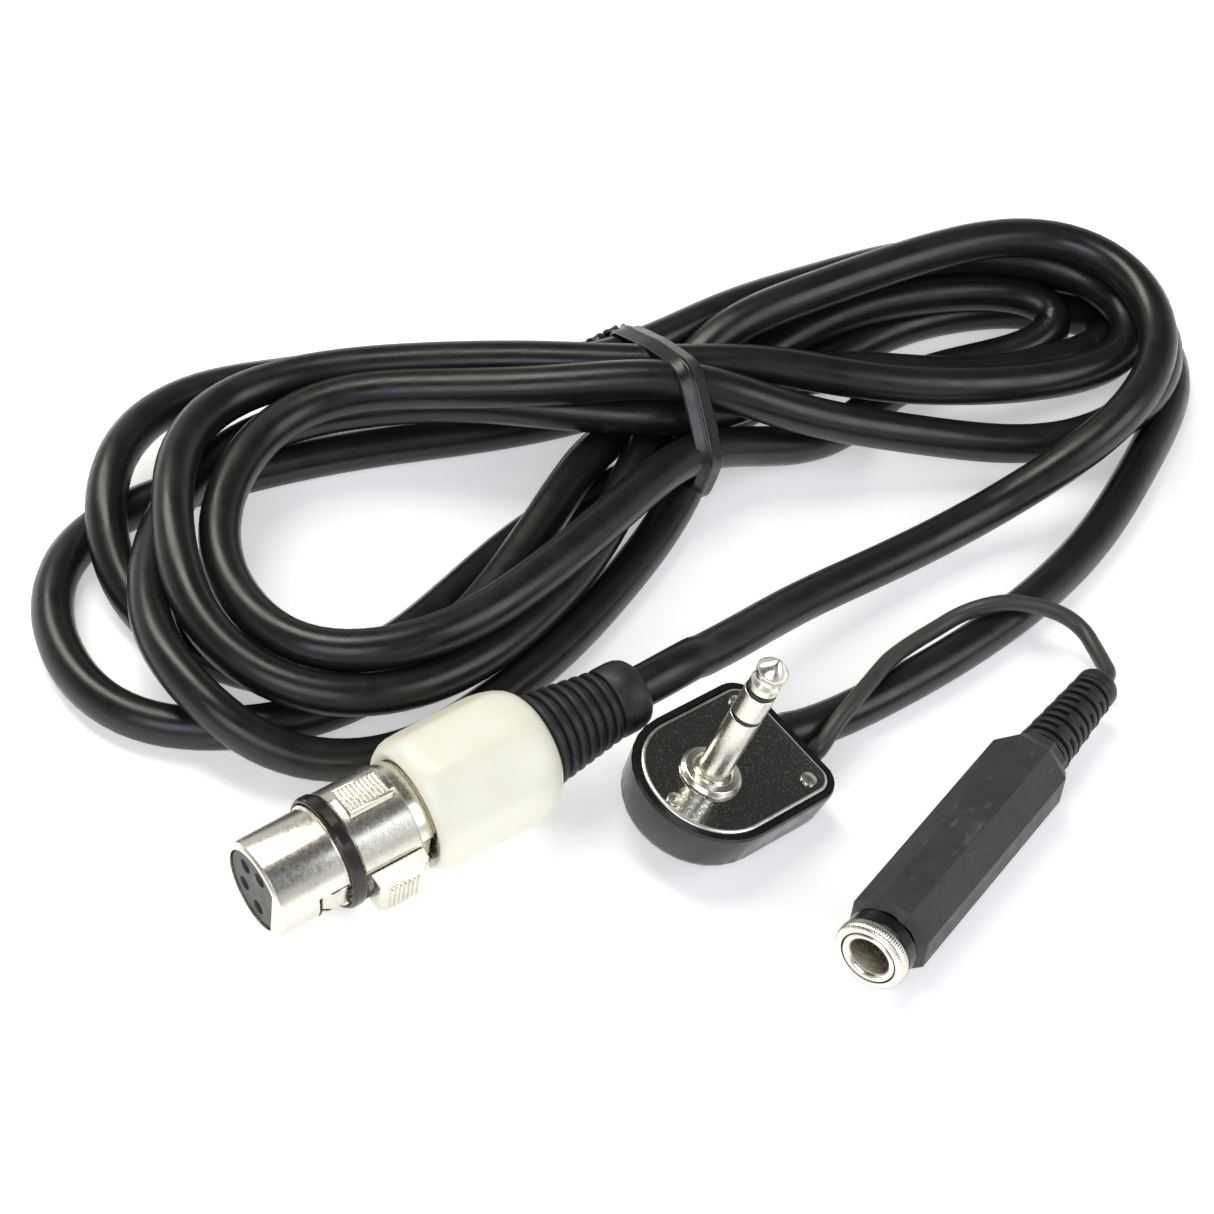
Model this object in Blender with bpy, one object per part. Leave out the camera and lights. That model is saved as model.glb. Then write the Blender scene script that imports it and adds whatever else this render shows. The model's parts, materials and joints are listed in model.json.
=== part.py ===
"""Intercom adapter cable, coiled and tied.

A long round cable joins a female XLR connector to a flat right-angle phone plug. A thin branch
cable joins the same plug to an in-line jack socket. The long cable is gathered into a loose hank
that a wire tie holds at its waist. Every length below is in millimetres and every angle in
degrees. The helpers turn them into metres and radians.
"""

import math

import bmesh
import bpy
from mathutils import Matrix, Vector

MM = 0.001
GAP = 0.25  # clearance between neighbouring pieces

# Cables
MAIN_RADIUS = 3.5
BRANCH_RADIUS = 1.4
CORE_RADIUS = 0.6

# XLR connector: its frame starts at the middle of the nose face, +Z runs back along the axis
# and +X points at the latch.
XLR_PLACE = (-28.9, -67.2, 8.5)
XLR_HEADING = 69.7
XLR_RISE = 5.6
XLR_LATCH_ANGLE = -8.0
NOSE_RADIUS = 8.0
INSERT_RADIUS = 6.6
INSERT_FLAT = 4.6
INSERT_BACK = 14.0
RING_FRONT, RING_BACK = 12.0, 14.4
RING_RADIUS = 9.3
HOUSING_RADIUS = 9.0
HOUSING_BACK = 24.4
THREAD_RADIUS = 8.2
COVER_FRONT, COVER_BACK = 27.0, 51.1
COVER_RADIUS = 11.0
BOOT_BACK = 70.5
BOOT_RIDGES = 7
CONTACT_CIRCLE = 3.9
CONTACT_ANGLES = (78, -78, 143, -143)
LATCH_PIVOT = (6.7, 26.0)  # distance from the axis, distance behind the nose face

# Flat plug: its frame starts on the plate under the pin, +Z runs up the pin and +X points at
# the cable end.
PLUG_PLACE = (13.6, -7.6, 13.1)
PLUG_TILT = 15.0
PLUG_TILT_TOWARDS = 26.0
PLUG_HEADING = 77.0
CUP_RADIUS = 12.8
CUP_END = 20.3
CUP_CORNER = 5.0
CUP_DEPTH = 8.6
CUP_WALL = 1.2
PLATE_THICKNESS = 0.8
PIN_RADIUS = 2.6
PIN_LENGTH = 28.0
SLEEVE_END = 15.0
RING_CONTACT_END = 20.8
FLANGE_RADIUS = 5.0
ENTRY_DEPTH = 4.8
MAIN_ENTRY_SIDE = 2.0
BRANCH_ENTRY_SIDE = -3.6
RIVET_PLACES = ((-9.2, -1.0), (14.8, -8.6), (14.8, 8.6))

# In-line socket: its frame starts at the middle of the mouth, and +Z runs back along the bore.
SOCKET_PLACE = (50.1, -18.7, 6.65)
SOCKET_HEADING = 90.0
BORE_RADIUS = 3.3
BUSH_RADIUS = 4.5
BUSH_BACK = 11.0
NUT_RADIUS = 6.1
NUT_THICKNESS = 2.2
COLLAR_RADIUS = 5.9
COLLAR_BACK = 4.6
BARREL_FLATS = 13.3
BARREL_BACK = 52.2
BARREL_NECK_BACK = 54.1
BARREL_BORE = 5.6
SOCKET_BOOT_BACK = 74.6
RING_SPRING_ROOT = (4.7, 15.5)  # distance from the bore's axis, distance behind the mouth
TIP_SPRING_ROOT = (4.7, 15.5)

# Hank: plan outline, anticlockwise from the waist's right side, and its height.
HANK_OUTLINE = (
    (-28, 54), (-24, 33), (-26, 7), (-30, -17), (-35, -35), (-46, -45), (-62, -49), (-80, -48),
    (-94, -38), (-103, -19), (-110, 5), (-104, 21), (-90, 33), (-76, 43), (-62, 57), (-51, 67),
    (-40, 89), (-26, 117), (-14, 138), (2, 143), (18, 134), (26, 119), (24.5, 101), (21.5, 85),
    (14.7, 82.2), (7.5, 83), (-6, 69), (-20, 58),
)
HANK_HEIGHT = 20.5
WAIST_PLACE = (-39.2, 60.4)
WAIST_HEADING = 58.7
WAIST_HALF_WIDTH = 13.0

# Wire tie
TIE_WIDTH = 4.8
TIE_THICKNESS = 1.1
TIE_BOTTOM = 0.5
TIE_TWIST_ROUTE = (
    (-53.2, 68.9, 11), (-53.3, 68.9, 15), (-54.2, 68.6, 18.6), (-55.4, 67.4, 21),
)
TIE_TWIST_RADIUS = 1.4

# Routes of the stretches that aren't coiled, chosen by hand, from connector to hank.
XLR_LEAD_ROUTE = (
    (-2.5, 4.8, 15.8), (-0.6, 17, 13.9), (2.2, 39.3, 10.3), (8.4, 62.3, 8.3), (14.1, 80.2, 8.6),
)
PLUG_LEAD_ROUTE = (
    (16.1, 16.4, 5), (18, 21.5, 4.1), (20.6, 29, 3.6), (23.4, 37.5, 3.6), (26, 46.5, 3.6), (28.2, 56, 3.6),
    (30, 65.5, 3.6), (31, 75, 3.6), (31.4, 83, 3.6), (31, 95, 3.8), (29.5, 107, 5),
)
BRANCH_ROUTE = (
    (21.2, 14.5, 5.6), (21.3, 18.5, 7.9), (21.3, 24, 9), (21, 30.5, 8.8), (20.6, 37, 8), (21, 43.1, 7),
    (22.3, 49.5, 6.6), (24.2, 54.8, 7.3), (26.7, 58, 8.4), (29.5, 60.8, 8.9), (32.3, 63.2, 8.4),
    (35.3, 65.4, 7.4), (38.5, 66.8, 6.3), (41.8, 66.4, 5.6), (45, 64.2, 5.5), (47.8, 61.6, 6),
)
ROUTE_STEP = 0.25  # fraction of a route segment between two points of the swept tube


# ---------------------------------------------------------------- finishes

def finish(name, colour, roughness, metallic=0.0):
    """A Principled material, made once for each name."""
    found = bpy.data.materials.get(name)
    if found:
        return found
    made = bpy.data.materials.new(name)
    made.use_nodes = True
    shader = made.node_tree.nodes["Principled BSDF"]
    shader.inputs["Base Color"].default_value = (*colour, 1.0)
    shader.inputs["Roughness"].default_value = roughness
    shader.inputs["Metallic"].default_value = metallic
    return made


def nickel():
    return finish("nickel", (0.78, 0.76, 0.70), 0.22, 1.0)


def brass():
    return finish("brass", (0.78, 0.60, 0.30), 0.30, 1.0)


def cream_plastic():
    return finish("cream_plastic", (0.86, 0.85, 0.72), 0.45)


def black_plastic():
    return finish("black_plastic", (0.025, 0.025, 0.026), 0.35)


def matte_black_plastic():
    return finish("matte_black_plastic", (0.045, 0.045, 0.047), 0.6)


def grey_plastic():
    return finish("grey_plastic", (0.09, 0.09, 0.085), 0.55)


def black_rubber():
    return finish("black_rubber", (0.02, 0.02, 0.02), 0.55)


def cable_jacket():
    return finish("cable_jacket", (0.022, 0.022, 0.02), 0.38)


def branch_jacket():
    return finish("branch_jacket", (0.05, 0.05, 0.045), 0.45)


def tie_plastic():
    return finish("tie_plastic", (0.018, 0.018, 0.018), 0.2)


def phenolic():
    return finish("phenolic", (0.22, 0.10, 0.04), 0.5)


# ---------------------------------------------------------------- frames

def axes_frame(name, place, z_axis, x_axis):
    """An empty at place whose local Z and X run along the two given directions."""
    z_axis = Vector(z_axis).normalized()
    x_axis = Vector(x_axis)
    x_axis = (x_axis - x_axis.dot(z_axis) * z_axis).normalized()
    y_axis = z_axis.cross(x_axis)
    frame = bpy.data.objects.new(name, None)
    frame.empty_display_size = 0.01
    bpy.context.scene.collection.objects.link(frame)
    turn = Matrix((x_axis, y_axis, z_axis)).transposed()
    frame.matrix_world = Matrix.Translation(Vector(place) * MM) @ turn.to_4x4()
    return frame


def lying_frame(name, place, heading, rise=0.0, roll=0.0):
    """A frame whose Z axis lies along heading, lifted by rise, and whose X axis points to its
    right-hand side, lifted by roll."""
    heading, rise, roll = math.radians(heading), math.radians(rise), math.radians(roll)
    z_axis = Vector(
        (math.cos(heading) * math.cos(rise), math.sin(heading) * math.cos(rise), math.sin(rise))
    )
    side = z_axis.cross(Vector((0, 0, 1))).normalized()
    lift = side.cross(z_axis)
    return axes_frame(name, place, z_axis, math.cos(roll) * side + math.sin(roll) * lift)


def tilted_frame(name, place, tilt, towards, heading):
    """A frame whose Z axis stands up but leans by tilt, and whose X axis points along heading."""
    tilt, towards, heading = math.radians(tilt), math.radians(towards), math.radians(heading)
    z_axis = (
        math.sin(tilt) * math.cos(towards),
        math.sin(tilt) * math.sin(towards),
        math.cos(tilt),
    )
    return axes_frame(name, place, z_axis, (math.cos(heading), math.sin(heading), 0))


def side_frame(name, parent, angle, pivot=(0.0, 0.0)):
    """A frame in a plane through the parent's axis: its X axis points away from that axis at
    angle, its Y axis runs back along it, and its origin is at pivot in that plane."""
    frame = bpy.data.objects.new(name, None)
    frame.empty_display_size = 0.005
    bpy.context.scene.collection.objects.link(frame)
    angle = math.radians(angle)
    away = Vector((math.cos(angle), math.sin(angle), 0))
    back = Vector((0, 0, 1))
    turn = Matrix((away, back, away.cross(back))).transposed()
    place = (away * pivot[0] + back * pivot[1]) * MM
    frame.parent = parent
    frame.matrix_local = Matrix.Translation(place) @ turn.to_4x4()
    return frame


# ---------------------------------------------------------------- solids

def add_object(name, mesh, frame, material):
    data = bpy.data.meshes.new(name)
    bmesh.ops.recalc_face_normals(mesh, faces=mesh.faces)
    mesh.to_mesh(data)
    mesh.free()
    data.shade_smooth()
    data.set_sharp_from_angle(angle=math.radians(35))
    made = bpy.data.objects.new(name, data)
    bpy.context.scene.collection.objects.link(made)
    made.parent = frame
    if material:
        data.materials.append(material)
    return made


def turned(name, outline, frame, material=None, sides=32, turn=0.0, centre=(0.0, 0.0)):
    """A solid turned about the frame's Z axis from a closed outline of (radius, height) points."""
    mesh = bmesh.new()
    start = math.radians(turn)
    ring = [
        mesh.verts.new((radius * math.cos(start) * MM, radius * math.sin(start) * MM, height * MM))
        for radius, height in outline
    ]
    edges = []
    for index, (radius, _) in enumerate(outline):
        after = (index + 1) % len(outline)
        if radius > 0 or outline[after][0] > 0:
            edges.append(mesh.edges.new((ring[index], ring[after])))
    bmesh.ops.spin(
        mesh, geom=ring + edges, cent=(0, 0, 0), axis=(0, 0, 1), angle=2 * math.pi,
        steps=sides, use_merge=True,
    )
    bmesh.ops.remove_doubles(mesh, verts=mesh.verts, dist=1e-7)
    bmesh.ops.translate(mesh, verts=mesh.verts, vec=(centre[0] * MM, centre[1] * MM, 0))
    return add_object(name, mesh, frame, material)


def stacked(name, rings, frame, material=None):
    """A solid through plan outlines of equal length, given as (outline, height) from bottom to top."""
    mesh = bmesh.new()
    levels = [
        [mesh.verts.new((x * MM, y * MM, height * MM)) for x, y in outline]
        for outline, height in rings
    ]
    mesh.faces.new(levels[0])
    mesh.faces.new(levels[-1])
    for low, high in zip(levels, levels[1:]):
        count = len(low)
        for index in range(count):
            after = (index + 1) % count
            mesh.faces.new((low[index], low[after], high[after], high[index]))
    return add_object(name, mesh, frame, material)


def prism(name, outline, low, high, frame, material=None):
    return stacked(name, ((outline, low), (outline, high)), frame, material)


def block(name, low, high, frame, material=None):
    """A box between two opposite corners."""
    outline = ((low[0], low[1]), (high[0], low[1]), (high[0], high[1]), (low[0], high[1]))
    return prism(name, outline, low[2], high[2], frame, material)


def rod(name, points, radius, material, frame=None, resolution=2):
    """A round rod with filled ends along a line of points."""
    curve = bpy.data.curves.new(name, "CURVE")
    curve.dimensions = "3D"
    curve.bevel_depth = radius * MM
    curve.bevel_resolution = resolution
    curve.use_fill_caps = True
    spline = curve.splines.new("POLY")
    spline.points.add(len(points) - 1)
    for point, place in zip(spline.points, points):
        point.co = (place[0] * MM, place[1] * MM, place[2] * MM, 1.0)
    curve.materials.append(material)
    made = bpy.data.objects.new(name, curve)
    bpy.context.scene.collection.objects.link(made)
    made.parent = frame
    return made


def change(target, tool, operation):
    """Cuts the tool from the target or joins it on, and hides the tool."""
    modifier = target.modifiers.new(f"{operation.lower()} {tool.name}", "BOOLEAN")
    modifier.operation = operation
    modifier.solver = "EXACT"
    modifier.object = tool
    tool.hide_render = True
    tool.display_type = "WIRE"


def cut(target, tool):
    change(target, tool, "DIFFERENCE")


def join(target, tool):
    change(target, tool, "UNION")


# ---------------------------------------------------------------- outlines

def arc(centre, radius, start, end, steps):
    """Points along an arc, from the start angle to the end angle."""
    points = []
    for index in range(steps + 1):
        angle = math.radians(start + (end - start) * index / steps)
        x = centre[0] + radius * math.cos(angle)
        points.append((x, centre[1] + radius * math.sin(angle)))
    return points


def cup_outline(inset=0.0):
    """The flat plug's plan: a half circle round the pin, straight sides and a rounded far end."""
    radius, corner = CUP_RADIUS - inset, CUP_CORNER - inset
    corner_x, corner_y = CUP_END - CUP_CORNER, CUP_RADIUS - CUP_CORNER
    return (
        arc((0, 0), radius, 90, 270, 16)
        + arc((corner_x, -corner_y), corner, 270, 345, 5)
        + arc((corner_x, corner_y), corner, 15, 90, 5)
    )


def rounded_box(half_width, half_height, corner):
    """A box outline about the origin with rounded corners."""
    x, y = half_width - corner, half_height - corner
    return (
        arc((x, y), corner, 0, 90, 4)
        + arc((-x, y), corner, 90, 180, 4)
        + arc((-x, -y), corner, 180, 270, 4)
        + arc((x, -y), corner, 270, 360, 4)
    )


def smooth(points, step, closed=False):
    """Points on a Catmull-Rom curve through the given ones."""
    points = [Vector(point) for point in points]
    count = len(points)
    made = []
    for index in range(count if closed else count - 1):
        if closed:
            around = [points[(index + offset) % count] for offset in (-1, 0, 1, 2)]
        else:
            around = [points[min(max(index + offset, 0), count - 1)] for offset in (-1, 0, 1, 2)]
        before, start, end, after = around
        steps = round(1 / step)
        for number in range(steps):
            t = number / steps
            made.append(
                0.5
                * (
                    2 * start
                    + (end - before) * t
                    + (2 * before - 5 * start + 4 * end - after) * t**2
                    + (3 * start - before - 3 * end + after) * t**3
                )
            )
    if not closed:
        made.append(points[-1])
    return made


# ---------------------------------------------------------------- XLR connector

def xlr_shell(frame):
    """The die-cast shell: nose, ring groove, housing with grip pads, step and rear thread."""
    shell = turned(
        "xlr_shell",
        (
            (0, 0), (7.6, 0), (NOSE_RADIUS, 0.4), (NOSE_RADIUS, RING_FRONT - GAP),
            (HOUSING_RADIUS - 0.6, RING_FRONT - GAP), (HOUSING_RADIUS - 0.6, RING_BACK + GAP),
            (HOUSING_RADIUS, RING_BACK + GAP), (HOUSING_RADIUS, HOUSING_BACK),
            (8.6, HOUSING_BACK + 0.3), (8.6, COVER_FRONT - GAP), (THREAD_RADIUS, COVER_FRONT),
            (THREAD_RADIUS, 36), (0, 36),
        ),
        frame, nickel(), sides=40,
    )
    for number, angle in enumerate((98, 143, -98)):
        plane = side_frame(f"pad_plane_{number}", frame, angle)
        pad = prism(
            f"grip_pad_{number}", ((7, 15.6), (9.7, 15.9), (9.7, 23.2), (7, 23.6)), -2.6, 2.6, plane
        )
        join(shell, pad)
    flat = math.degrees(math.acos((INSERT_FLAT + GAP) / (INSERT_RADIUS + GAP)))
    bore = prism(
        "shell_bore", arc((0, 0), INSERT_RADIUS + GAP, flat, 360 - flat, 30), -1, 40, frame
    )
    cut(shell, bore)
    cut(shell, block("latch_window", (4.4, -2.4, 6.6), (12, 2.4, 20), frame))
    cut(shell, block("latch_slot", (4.4, -3.5, 14.6), (12, 3.5, 27.6), frame))
    key_plane = side_frame("key_plane", frame, 126)
    groove = block("key_groove", (7.4, 1.2, -3.4), (10, RING_FRONT - 0.8, 3.4), key_plane)
    cut(shell, groove)
    return shell


def xlr_insert(frame):
    """The dark contact carrier, with a flat on the latch side and four contact holes."""
    flat = math.degrees(math.acos(INSERT_FLAT / INSERT_RADIUS))
    insert = prism(
        "xlr_insert", arc((0, 0), INSERT_RADIUS, flat, 360 - flat, 30), 0.35, INSERT_BACK,
        frame, grey_plastic(),
    )
    for number, angle in enumerate(CONTACT_ANGLES):
        angle = math.radians(angle)
        place = (CONTACT_CIRCLE * math.cos(angle), CONTACT_CIRCLE * math.sin(angle))
        hole = turned(
            f"contact_hole_{number}", ((0, -1), (1.25, -1), (1.25, 16), (0, 16)), frame,
            sides=16, centre=place,
        )
        cut(insert, hole)
        contact = (
            (0.65, 1.2), (1.0, 1.2), (1.0, 18), (0.7, 18), (0.7, 15.5), (0, 15.5), (0, 12),
            (0.65, 12),
        )
        turned(
            f"xlr_contact_{number + 1}", contact, frame, brass(), sides=12, centre=place
        )
        start = Vector((place[0], place[1], 18.3))
        end = Vector((place[0] * 0.42, place[1] * 0.42, 39.5))
        middle = (start + end) / 2
        rod(
            f"xlr_core_{number + 1}",
            smooth((start, start.lerp(end, 0.2), middle, end.lerp(start, 0.2), end), 0.5),
            CORE_RADIUS, branch_jacket(), frame,
        )


def xlr_latch(frame):
    """The sprung latch: a lever whose hook shows in the nose's window and whose button stands
    out of the housing, and the leaf spring under it."""
    plane = side_frame("latch_pivot", frame, 0, LATCH_PIVOT)

    def in_plane(points):
        return [(x - LATCH_PIVOT[0], y - LATCH_PIVOT[1]) for x, y in points]

    latch = prism(
        "xlr_latch",
        in_plane(
            ((5.8, 7.6), (7.0, 7.6), (7.8, 9.0), (7.8, 11.6), (7.2, 11.9), (7.2, 26.8), (5.8, 26.8))
        ),
        -2.1, 2.1, plane, nickel(),
    )
    button = prism(
        "latch_button",
        in_plane(((6.4, 15.1), (11.2, 15.1), (11.9, 16.0), (11.9, 22.4), (10.4, 24.4), (6.4, 24.9))),
        -3.1, 3.1, plane,
    )
    join(latch, button)
    prism(
        "xlr_latch_spring",
        in_plane(
            ((4.85, 17.5), (5.25, 21.0), (4.85, 25.0), (4.55, 25.0), (4.95, 21.0), (4.55, 17.5))
        ),
        -1.6, 1.6, plane, nickel(),
    )


def xlr_cover(frame):
    """The cream rear cover, an octagon with a chamfered front and a rounded back."""
    corner = COVER_RADIUS / math.cos(math.radians(22.5))
    cover = turned(
        "xlr_cover",
        (
            (0, COVER_FRONT), (corner - 1.9, COVER_FRONT), (corner - 0.5, COVER_FRONT + 1.4),
            (corner, COVER_FRONT + 3.6), (corner, COVER_BACK - 5.6), (corner - 0.9, COVER_BACK - 2.8),
            (corner - 2.6, COVER_BACK - 0.9), (corner - 4.2, COVER_BACK), (0, COVER_BACK),
        ),
        frame, cream_plastic(), sides=8, turn=14.5,
    )
    bore = turned(
        "cover_bore",
        (
            (0, 26), (THREAD_RADIUS + GAP, 26), (THREAD_RADIUS + GAP, 37.5), (6.6, 38.5),
            (6.6, 49.0), (5.7, 49.5), (5.7, 53), (0, 53),
        ),
        frame,
    )
    cut(cover, bore)


def ridged_outline(front, back, front_radius, back_radius, ridges, depth):
    """The outside of a tapering boot that even grooves cut."""
    pitch = (back - front) / ridges
    points = []
    for index in range(ridges):
        start = front + index * pitch
        outer = front_radius + (back_radius - front_radius) * index / ridges
        points += [(outer, start), (outer, start + pitch * 0.55)]
        points += [(outer - depth, start + pitch * 0.68), (outer - depth, start + pitch * 0.88)]
    return points


def xlr_boot(frame):
    """The rubber boot: a neck inside the cover, ridges, and a smooth rounded end."""
    bore = MAIN_RADIUS + GAP
    ridges = ridged_outline(COVER_BACK + GAP, 64.6, 7.6, 5.9, BOOT_RIDGES, 0.75)
    outline = (
        [(bore, 46.5), (5.4, 46.5), (5.4, COVER_BACK + GAP)]
        + ridges
        + [(5.6, 64.6), (5.5, 68.6), (5.1, 69.9), (4.5, BOOT_BACK), (bore, BOOT_BACK)]
    )
    turned("xlr_boot", outline, frame, black_rubber())


def xlr_clamp(frame):
    """The clamp sleeve inside the cover, slotted from its back end."""
    bore = MAIN_RADIUS + GAP
    clamp = turned(
        "xlr_clamp",
        ((bore, 37.0), (6.2, 37.0), (6.2, 41), (5.2, 46.2), (bore, 46.2)),
        frame, black_plastic(), sides=24,
    )
    cut(clamp, block("clamp_slot", (-8, -0.5, 40), (8, 0.5, 50), frame))
    turned(
        "xlr_cable_end",
        ((0, 40.4), (MAIN_RADIUS, 40.4), (MAIN_RADIUS, BOOT_BACK - GAP), (0, BOOT_BACK - GAP)),
        frame, cable_jacket(), sides=16,
    )


def xlr_connector():
    frame = lying_frame("xlr_frame", XLR_PLACE, XLR_HEADING, XLR_RISE, XLR_LATCH_ANGLE)
    xlr_shell(frame)
    xlr_insert(frame)
    turned(
        "xlr_coding_ring",
        (
            (HOUSING_RADIUS - 0.6 + GAP, RING_FRONT), (RING_RADIUS - 0.3, RING_FRONT),
            (RING_RADIUS, RING_FRONT + 0.5), (RING_RADIUS, RING_BACK - 0.5),
            (RING_RADIUS - 0.3, RING_BACK), (HOUSING_RADIUS - 0.6 + GAP, RING_BACK),
        ),
        frame, black_plastic(), sides=40,
    )
    xlr_latch(frame)
    xlr_cover(frame)
    xlr_clamp(frame)
    xlr_boot(frame)
    return frame


# ---------------------------------------------------------------- flat plug

def plug_cup(frame):
    """The black cup: its pocket, and the two holes in its far end that the cables enter by."""
    cup = stacked(
        "plug_cup",
        (
            (cup_outline(2.6), -CUP_DEPTH), (cup_outline(1.3), -CUP_DEPTH + 0.5),
            (cup_outline(0.6), -CUP_DEPTH + 1.8), (cup_outline(), -0.6), (cup_outline(0.2), 0),
        ),
        frame, black_plastic(),
    )
    rim = prism("cup_rim", cup_outline(CUP_WALL), -PLATE_THICKNESS - GAP, 1, frame)
    cut(cup, rim)
    pocket = prism(
        "cup_pocket", rounded_box(12.4, 10.2, 5.5), -CUP_DEPTH + 1.2, 0, frame
    )
    pocket.location.x = 3.4 * MM
    cut(cup, pocket)
    for name, side, radius in (
        ("main_hole", MAIN_ENTRY_SIDE, MAIN_RADIUS + 0.2),
        ("branch_hole", BRANCH_ENTRY_SIDE, BRANCH_RADIUS + 0.2),
    ):
        hole = turned(name, ((0, 15), (radius, 15), (radius, 25), (0, 25)), frame, sides=16)
        hole.matrix_local = entry_matrix(side)
        cut(cup, hole)
    return cup


def entry_matrix(side):
    """Places a turned piece so that its axis runs out of the cup's far end."""
    place = Matrix.Translation(Vector((0, side * MM, -ENTRY_DEPTH * MM)))
    return place @ Matrix.Rotation(math.radians(90), 4, "Y")


def plug_plate(frame, cup):
    """The nickel cover plate, with the pin's hole, and the three rivets that hold it on the cup."""
    plate = prism(
        "plug_plate", cup_outline(CUP_WALL + GAP), -PLATE_THICKNESS, 0, frame, nickel()
    )
    cut(plate, turned("pin_hole", ((0, -2), (3.1, -2), (3.1, 1), (0, 1)), frame, sides=24))
    for number, place in enumerate(RIVET_PLACES):
        hole = turned(
            f"rivet_hole_{number}", ((0, -2), (1.1, -2), (1.1, 1), (0, 1)), frame,
            sides=12, centre=place,
        )
        cut(plate, hole)
        socket = turned(
            f"rivet_socket_{number}", ((0, -3), (1.15, -3), (1.15, 1), (0, 1)), frame,
            sides=12, centre=place,
        )
        cut(cup, socket)
        turned(
            f"plug_rivet_{number + 1}",
            (
                (0, 0.8), (0.8, 0.65), (1.35, 0.25 + GAP), (1.35, GAP), (0.85, GAP), (0.85, -2.4),
                (0, -2.4),
            ),
            frame, nickel(), sides=12, centre=place,
        )


def plug_pin(frame):
    """The three-contact pin: sleeve with its flange, ring, tip, and the insulators between."""
    turned(
        "plug_sleeve",
        (
            (2.15, SLEEVE_END), (2.15, -2.2), (2.85, -2.2), (2.85, GAP), (FLANGE_RADIUS, GAP),
            (FLANGE_RADIUS + 0.1, 0.7), (FLANGE_RADIUS - 0.5, 1.3), (3.4, 1.5), (3.2, 1.0),
            (PIN_RADIUS + 0.05, 1.0), (PIN_RADIUS, 1.8), (PIN_RADIUS, SLEEVE_END),
        ),
        frame, nickel(),
    )
    turned(
        "plug_ring_insulator",
        (
            (1.7, SLEEVE_END + 0.65), (1.7, -1.5), (1.98, -1.5), (1.98, SLEEVE_END + 0.12),
            (PIN_RADIUS - 0.08, SLEEVE_END + 0.12), (PIN_RADIUS - 0.08, SLEEVE_END + 0.65),
        ),
        frame, black_plastic(), sides=24,
    )
    turned(
        "plug_ring",
        (
            (1.15, RING_CONTACT_END), (1.15, -3.4), (1.5, -3.4), (1.5, SLEEVE_END + 0.8),
            (PIN_RADIUS, SLEEVE_END + 0.8), (PIN_RADIUS, RING_CONTACT_END),
        ),
        frame, nickel(),
    )
    turned(
        "plug_tip_insulator",
        (
            (0.7, RING_CONTACT_END + 0.75), (0.7, -2.6), (0.98, -2.6), (0.98, RING_CONTACT_END + 0.12),
            (PIN_RADIUS - 0.1, RING_CONTACT_END + 0.12), (PIN_RADIUS - 0.1, RING_CONTACT_END + 0.75),
        ),
        frame, black_plastic(), sides=24,
    )
    head = RING_CONTACT_END + 0.9
    turned(
        "plug_tip",
        (
            (0, -5.6), (0.5, -5.6), (0.5, head), (2.45, head), (2.5, head + 1.3),
            (2.0, head + 2.0), (2.0, head + 2.6), (2.5, head + 3.3), (PIN_RADIUS, PIN_LENGTH - 2.4),
            (2.3, PIN_LENGTH - 1.9), (0.35, PIN_LENGTH - 0.1), (0, PIN_LENGTH),
        ),
        frame, nickel(),
    )
    lugs = (("sleeve", 3.0, -1.9, 160), ("ring", 1.65, -3.2, 40), ("tip", 0.65, -4.6, 100))
    for name, hole_radius, height, angle in lugs:
        plane = bpy.data.objects.new(f"{name}_lug_plane", None)
        bpy.context.scene.collection.objects.link(plane)
        plane.parent = frame
        plane.rotation_euler = (0, 0, math.radians(angle))
        reach = hole_radius + 4.2
        outline = arc((0, 0), hole_radius + 1.0, 40, 320, 10)
        outline += arc((reach, 0), 0.9, -90, 90, 5)
        lug = prism(f"plug_{name}_lug", outline, height - 0.4, height, plane, brass())
        hole = turned(
            f"{name}_lug_hole",
            ((0, height - 1), (hole_radius, height - 1), (hole_radius, height + 1), (0, height + 1)),
            plane, sides=16,
        )
        cut(lug, hole)


def flat_plug():
    frame = tilted_frame(
        "plug_frame", PLUG_PLACE, PLUG_TILT, PLUG_TILT_TOWARDS, PLUG_HEADING
    )
    cup = plug_cup(frame)
    plug_plate(frame, cup)
    plug_pin(frame)
    block(
        "plug_cable_strap", (13.2, -5.6, -1.9), (15.2, 6.6, -1.3), frame, nickel()
    )
    for name, side, radius, start, material in (
        ("plug_cable_end", MAIN_ENTRY_SIDE, MAIN_RADIUS, 16.9, cable_jacket()),
        ("plug_branch_end", BRANCH_ENTRY_SIDE, BRANCH_RADIUS, 12.0, branch_jacket()),
    ):
        end = CUP_END - 0.1
        stub = turned(
            name, ((0, start), (radius, start), (radius, end), (0, end)), frame, material, sides=16
        )
        stub.matrix_local = entry_matrix(side)
    return frame


# ---------------------------------------------------------------- in-line socket

def spring_leaf(name, frame, angle, root, outline):
    """A contact spring of flat strip in a plane through the bore's axis, its origin at its root."""
    plane = side_frame(f"{name}_root", frame, angle, root)
    points = [(x - root[0], y - root[1]) for x, y in outline]
    prism(name, points, -1.0, 1.0, plane, brass())


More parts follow.
